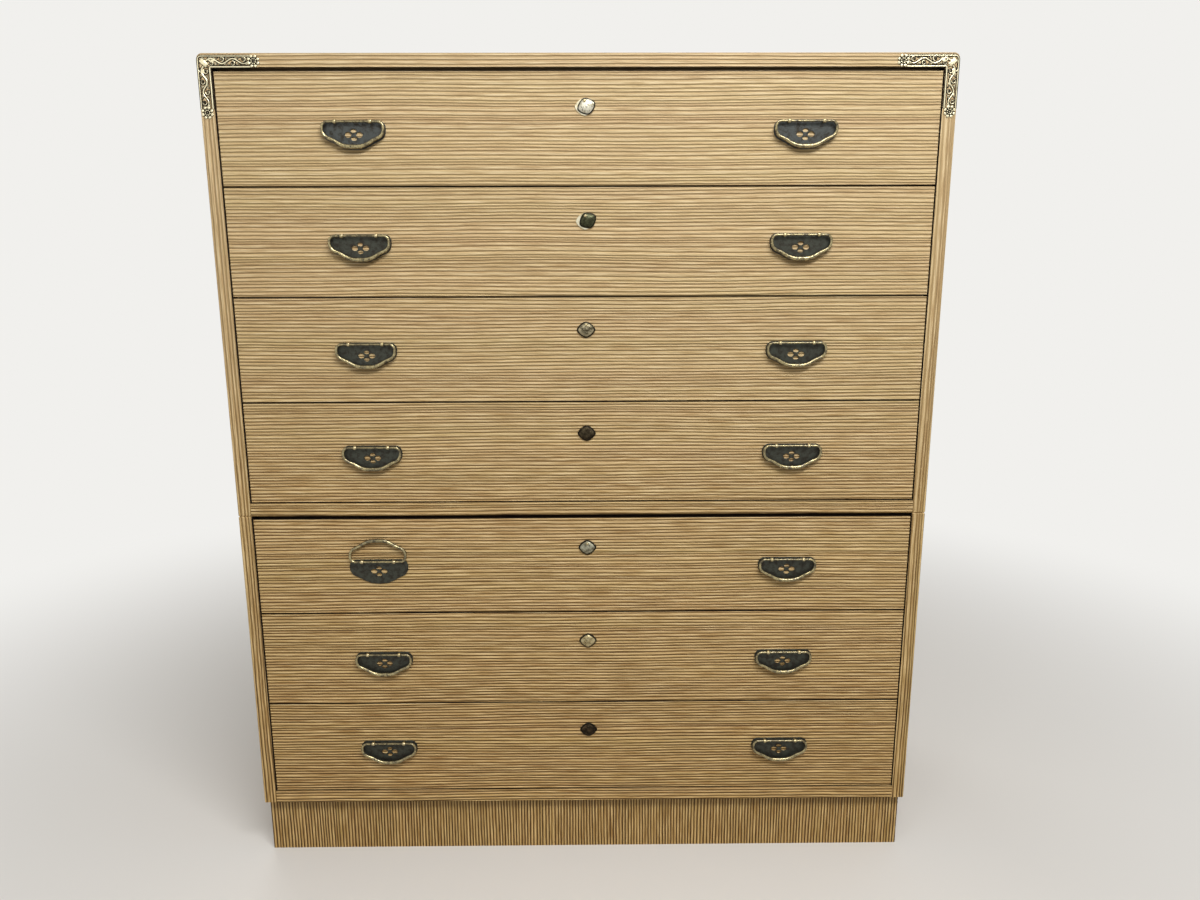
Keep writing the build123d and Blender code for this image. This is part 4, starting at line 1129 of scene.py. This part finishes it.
class CHEST_OT_drawer_wood(Make, bpy.types.Operator):
    """Finishes the drawer fronts and boxes"""

    bl_idname = "chest.drawer_wood"
    bl_label = "Drawer wood"

    def execute(self, context):
        front = brushed_wood("Brushed softwood, drawer fronts", "X", inside=("Y", BEHIND_FACES))
        box = planed_wood("Planed softwood, drawer boxes", "Y", turned=DRAWER_BACK)
        for number in DRAWERS:
            dress(f"drawer_{number}_front", front)
            dress(f"drawer_{number}_box", box)
        return {"FINISHED"}


class CHEST_OT_fittings(Make, bpy.types.Operator):
    """Makes each drawer's back plates, eyes, keyhole plate and lock case"""

    bl_idname = "chest.fittings"
    bl_label = "Plates, eyes and locks"

    def execute(self, context):
        size, locks = sizes("handles"), sizes("locks")
        black = patinated_metal("Blackened plate", size.patina, size.rust, 0.75, 0.38, share=0.65, pit=0.12)
        deep = patinated_metal("Blackened plate, little handled", size.soot, size.rust, 0.75, 0.46, share=0.6)
        brass = patinated_metal("Handled brass eyes", size.rubbed, size.brass, 1.0, 0.3, share=0.6, wax=0.5)
        iron = patinated_metal("Plain iron lock case", locks.iron, locks.iron_shade, 0.9, 0.45)
        edges = patinated_metal("Rubbed brass keyhole plate", locks.border, size.brass, 1.0, 0.34, share=0.6)
        grimy = patinated_metal("Grimy brass keyhole plate", size.tarnish, locks.grime_and_shade, 0.8, 0.5)
        flower = [in_metres(petal(*opening)) for opening in PLATE_FLOWER]
        plate = [in_metres(plate_outline(size.margin / MM)), *flower]
        plate = placed(sheet_metal(plate, size.plate, PLATE_BEVEL * MM), UPRIGHT)
        shank = bevelled(prism(EYE_SHANK, SHANK_HALF_WIDTH), SHANK_BEVEL * MM)
        eye = joined([revolved(EYE_RING, 24, ring=True), shank])
        repeats = repeat_tree()
        for number, (_, _, _, bright) in zip(DRAWERS, COVER_TONES):
            # Painted sheen: the top drawer's plates get the lighter plate colour; the others the darker one.
            plate_metal = black if number == DRAWERS[0] else deep
            key_metal = edges if number <= LAST_BRIGHT_PLATE else grimy
            pin_metal = brass if bright > BRIGHT_PIN_SHARE else grimy
            name = f"drawer_{number}"
            parts = self.handles(name, with_material(plate, plate_metal), repeats, eye, brass)
            parts += self.lock(name, key_metal, pin_metal, iron)
            piece(f"{name}_plates_eyes_lock", joined(parts), name, f"{name}_fittings")
        return {"FINISHED"}

    def handles(self, name, plate, repeats, eye, brass):
        """The two back plates and four eyes of a drawer."""
        parts, eyes = [], []
        for side in ("left", "right"):
            x, y, z = JOINTS[f"{name}_{side}_bail_hinge"]["pos_m"]
            behind = Matrix.Translation((x, Y_FACE - sizes("handles").plate / 2, z))
            parts.append(placed(plate.copy(), behind))
            eyes += [(x + shift * MM, y, z, 0.0, 1.0) for shift in (-EYE_SHIFT, EYE_SHIFT)]
        return [*parts, repeated(repeats, eye.copy(), eyes, brass)]

    def lock(self, name, key_metal, pin_metal, iron):
        """The keyhole plate, cover's pin and lock case of a drawer."""
        bolt_low, bolt_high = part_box(f"{name}_lock_bolt")
        middle = (bolt_low.x + bolt_high.x) / 2
        pivot = Vector(JOINTS[f"{name}_key_cover_swing"]["pos_m"])
        pin = placed(revolved(PIN, 20), Matrix.Translation(pivot) @ PIN_TURN)
        top, half = bolt_high.z + LOCK_ABOVE_BOLT * MM, LOCK_HALF_WIDTH * MM
        low = Vector((middle - half, Y_STOP, top - LOCK_HEIGHT * MM))
        high = Vector((middle + half, Y_STOP + LOCK_DEPTH * MM, top))
        case = bevelled(lock_case_mesh(low, high, bolt_low, bolt_high), LOCK_BEVEL * MM)
        plate = self.key_plate(pivot - Vector((0, 0, COVER_PIVOT)) * MM)
        metals = ((plate, key_metal), (pin, pin_metal), (case, iron))
        return [with_material(mesh, metal) for mesh, metal in metals]

    def key_plate(self, hole):
        """A keyhole plate on the front, pierced with a round hole and a slot below it."""
        angles = [math.radians(30 * index - 60) for index in range(11)]
        keyhole = [Vector((math.cos(angle), math.sin(angle))) * KEYHOLE_RADIUS for angle in angles]
        half, reach = KEYHOLE_SLOT
        keyhole += [Vector((-half, -reach)), Vector((half, -reach))]
        outlines = [in_metres(diamond(*KEY_PLATE)), in_metres(keyhole)]
        plate = sheet_metal(outlines, KEY_PLATE_THICKNESS * MM, KEY_PLATE_BEVEL * MM)
        middle = Matrix.Translation((hole.x, Y_FACE - KEY_PLATE_THICKNESS / 2 * MM, hole.z))
        return placed(plate, middle @ UPRIGHT)


class CHEST_OT_bails(Make, bpy.types.Operator):
    """Makes the fourteen forged bails"""

    bl_idname = "chest.bails"
    bl_label = "Bails"

    def execute(self, context):
        size = sizes("handles")
        hanging = self.brass("Forged brass bail", HANGING_SHADE)
        leaning = self.brass("Forged brass bail, leaning back", LEANING_SHADE)
        tree = bail_tree()
        corners = [(-x, z, r) for x, z, r in BAIL_CORNERS] + list(reversed(BAIL_CORNERS))
        corners = [(-BAIL_BAR_END, 0.0, 0.0), *corners, (BAIL_BAR_END, 0.0, 0.0)]
        line = [(x * MM, z * MM, r * MM) for x, z, r in corners]
        radii = {label: getattr(size, label) for label in ("end", "cheek", "grip", "bar", "hammer")}
        swings = [joint for name, joint in JOINTS.items() if name.endswith("_bail_hinge")]
        raised = max(joint["range_deg"][1] for joint in swings)
        for seed, joint in enumerate(swings):
            body = joint["child"]
            # A bail that rests raised can't swing on past the front.
            hangs = joint["range_deg"][1] > 90
            metal = hanging if hangs else leaning
            host = linked("line", line_mesh([line], "rounding"))
            mesh = grown(host, tree, **radii, bar_end=BAIL_BAR_END * MM, seed=float(seed), metal=metal)
            angle = 0.0 if hangs else -math.radians(raised)
            place = Matrix.Translation(joint["pos_m"]) @ Matrix.Rotation(angle, 4, "X")
            piece(body + "_forged", placed(mesh, place), body, body)
        return {"FINISHED"}

    def brass(self, name, darkening):
        """Brass bright in front, with painted shade and dark reflection on the sides and back of the tube."""
        size = sizes("handles")
        darkened_to = darkening_from(JOINTS["drawer_1_left_bail_hinge"]["pos_m"][1], darkening)
        polish = {"share": 0.6, "pit": 0.02, "wax": 0.8, "darkened_to": darkened_to}
        return patinated_metal(name, size.brass, size.tarnish, 0.95, 0.26, **polish)


class CHEST_OT_key_covers(Make, bpy.types.Operator):
    """Makes the seven domed keyhole covers"""

    bl_idname = "chest.key_covers"
    bl_label = "Keyhole covers"

    def execute(self, context):
        height = sizes("locks").dome / MM
        levels = [(share, part * height) for share, part in COVER_PROFILE]
        for number, (bright, dark, rough, share) in zip(DRAWERS, COVER_TONES):
            joint = JOINTS[f"drawer_{number}_key_cover_swing"]
            body, pivot = joint["child"], joint["pos_m"]
            tones = (linear(bright), linear(dark), 0.9, rough, share, 0.2)
            darkened_to = darkening_from(pivot[1], COVER_RIM_DARK)
            metal = patinated_metal(f"Patinated brass cover {number}", *tones, darkened_to=darkened_to)
            # A cover that rests to one side is as far from hanging as its swing is from even.
            swung = -math.radians(sum(joint["range_deg"]) / 2)
            hang = Matrix.Rotation(swung, 4, "Y") @ Matrix.Translation((0, 0, -COVER_PIVOT * MM))
            mesh = placed(self.drilled(dome(diamond(*COVER), levels)), Matrix.Translation(pivot) @ hang)
            piece(body + "_dome", with_material(mesh, metal), body, body)
        return {"FINISHED"}

    def drilled(self, mesh):
        """The cover with its pin's hole bored through."""
        cover = linked("cover", mesh)
        place = Matrix.Translation((0, 0, COVER_PIVOT * MM)) @ PIN_TURN
        cutter = linked("hole", placed(revolved(PIN_HOLE, 20), place))
        cut = cover.modifiers.new("Pin hole", "BOOLEAN")
        cut.operation = "DIFFERENCE"
        cut.solver = "EXACT"
        cut.object = cutter
        mesh = plain_mesh(cover)
        bpy.data.objects.remove(cutter)
        return mesh


class CHEST_OT_bolts(Make, bpy.types.Operator):
    """Finishes the lock bolts"""

    bl_idname = "chest.bolts"
    bl_label = "Lock bolts"

    def execute(self, context):
        locks = sizes("locks")
        tones = (locks.steel, locks.steel_shade)
        steel = patinated_metal("Drawn steel bolt", *tones, 1.0, 0.3, share=0.7, pit=0.02)
        for number in DRAWERS:
            dress(f"drawer_{number}_lock_bolt", steel)
        return {"FINISHED"}


class CHEST_OT_corner_mounts(Make, bpy.types.Operator):
    """Makes the pierced brass mounts on the two top corners"""

    bl_idname = "chest.corner_mounts"
    bl_label = "Corner mounts"

    def execute(self, context):
        brass = blackened_tracery("Blackened cast brass, polished crests", Y_CASE, CREST_RISE * MM)
        left = mount_mesh(tracery_tree(), repeat_tree(), brass)
        right = placed(left.copy(), Matrix.Scale(-1, 4, (1, 0, 0)))
        right.flip_normals()
        pair = [
            placed(mount, Matrix.Translation((x, Y_CASE, Z_TOP)))
            for mount, x in ((left, -X_OUTSIDE), (right, X_OUTSIDE))
        ]
        mesh = with_material(joined(pair), brass)
        piece("corner_mounts_tracery", mesh, "upper_case", "corner_mounts")
        return {"FINISHED"}


class CHEST_OT_stage(Make, bpy.types.Operator):
    """Makes the floor, the lamps, the surroundings and the camera"""

    bl_idname = "chest.stage"
    bl_label = "Stage"

    def execute(self, context):
        size = sizes("stage")
        mesh = bpy.data.meshes.new("floor")
        corners = [(x * FLOOR_REACH, y * FLOOR_REACH, 0) for x, y in ((-1, -1), (1, -1), (1, 1), (-1, 1))]
        mesh.from_pydata(corners, [], [(0, 1, 2, 3)])
        linked("floor", with_material(mesh, self.floor_paint(size)))
        for label, (name, place, extent) in LAMPS.items():
            self.lamp(name, place, extent, getattr(size, label))
        self.surroundings(context.scene, size)
        self.camera(context.scene)
        return {"FINISHED"}

    def floor_paint(self, size):
        """Matt paint that fades into the backdrop with distance, for what the camera sees."""
        material, tree = new_material("Matt pale floor paint")
        paint = add(tree, "ShaderNodeMix", seen_directly(tree), size.bounce, size.floor, data_type="RGBA")
        shader = add(tree, "ShaderNodeBsdfPrincipled", named={"Base Color": paint, "Roughness": 0.9})
        place = add(tree, "ShaderNodeTexCoord").outputs["Object"]
        away = add(tree, "ShaderNodeVectorMath", place, operation="LENGTH")
        far = add(tree, "ShaderNodeMapRange", away, *FLOOR_FADE, 0.0, 1.0, **SMOOTH)
        backdrop = add(tree, "ShaderNodeEmission", size.backdrop, 1.0)
        seen = add(tree, "ShaderNodeMath", seen_directly(tree), far, operation="MULTIPLY")
        add(tree, "ShaderNodeOutputMaterial", add(tree, "ShaderNodeMixShader", seen, shader, backdrop))
        return material

    def lamp(self, name, place, extent, watts):
        """A soft box that faces the middle of the chest."""
        lamp = bpy.data.lights.new(name, "AREA")
        lamp.shape = "RECTANGLE"
        lamp.size, lamp.size_y = extent
        lamp.energy = watts
        rig = linked(name, lamp)
        rig.location = place
        rig.rotation_euler = (LAMP_AIM - Vector(place)).to_track_quat("-Z", "Y").to_euler()

    def surroundings(self, scene, size):
        """A soft even light from all round, seen as the backdrop's colour."""
        world = bpy.data.worlds.new("Pale room")
        world.use_nodes = True
        scene.world = world
        tree = world.node_tree
        tree.nodes.clear()
        soft = add(tree, "ShaderNodeBackground", SKY_TINT, size.sky)
        bare = add(tree, "ShaderNodeBackground", size.backdrop, 1.0)
        both = add(tree, "ShaderNodeMixShader", seen_directly(tree), soft, bare)
        add(tree, "ShaderNodeOutputWorld", both)

    def camera(self, scene):
        camera = bpy.data.cameras.new("camera")
        camera.sensor_fit = "HORIZONTAL"
        camera.sensor_width = CAMERA_SENSOR
        camera.lens = CAMERA_LENS
        rig = linked("camera", camera)
        yaw, pitch, roll = map(math.radians, CAMERA_TURN)
        look = Matrix.Rotation(-yaw, 4, "Z") @ Matrix.Rotation(math.radians(90) - pitch, 4, "X")
        rig.matrix_world = Matrix.Translation(CAMERA_PLACE) @ look @ Matrix.Rotation(roll, 4, "Z")
        scene.camera = rig
        scene.view_settings.view_transform = "Standard"


class CHEST_PT_panel(bpy.types.Panel):
    """Lists what the script makes and the sizes and colours that it uses"""

    bl_idname = "CHEST_PT_panel"
    bl_label = "Clothing chest"
    bl_space_type = "VIEW_3D"
    bl_region_type = "UI"
    bl_category = "Chest"

    def draw(self, context):
        for operator in OPERATORS:
            self.layout.operator(operator.bl_idname)
        for name, group in GROUPS.items():
            box = self.layout.box()
            box.label(text=name.capitalize())
            for prop in group.__annotations__:
                box.prop(sizes(name), prop)


OPERATORS = (
    CHEST_OT_stage,
    CHEST_OT_case_wood,
    CHEST_OT_drawer_wood,
    CHEST_OT_fittings,
    CHEST_OT_bails,
    CHEST_OT_key_covers,
    CHEST_OT_bolts,
    CHEST_OT_corner_mounts,
)


def register():
    for item in (*GROUPS.values(), *OPERATORS, CHEST_PT_panel):
        bpy.utils.register_class(item)
    for name, group in GROUPS.items():
        setattr(bpy.types.Scene, "chest_" + name, bpy.props.PointerProperty(type=group))


def unregister():
    for name in GROUPS:
        delattr(bpy.types.Scene, "chest_" + name)
    for item in (*GROUPS.values(), *OPERATORS, CHEST_PT_panel):
        bpy.utils.unregister_class(item)


def main():
    register()
    for operator in OPERATORS:
        family, name = operator.bl_idname.split(".")
        getattr(getattr(bpy.ops, family), name)()


if __name__ == "__main__":
    main()
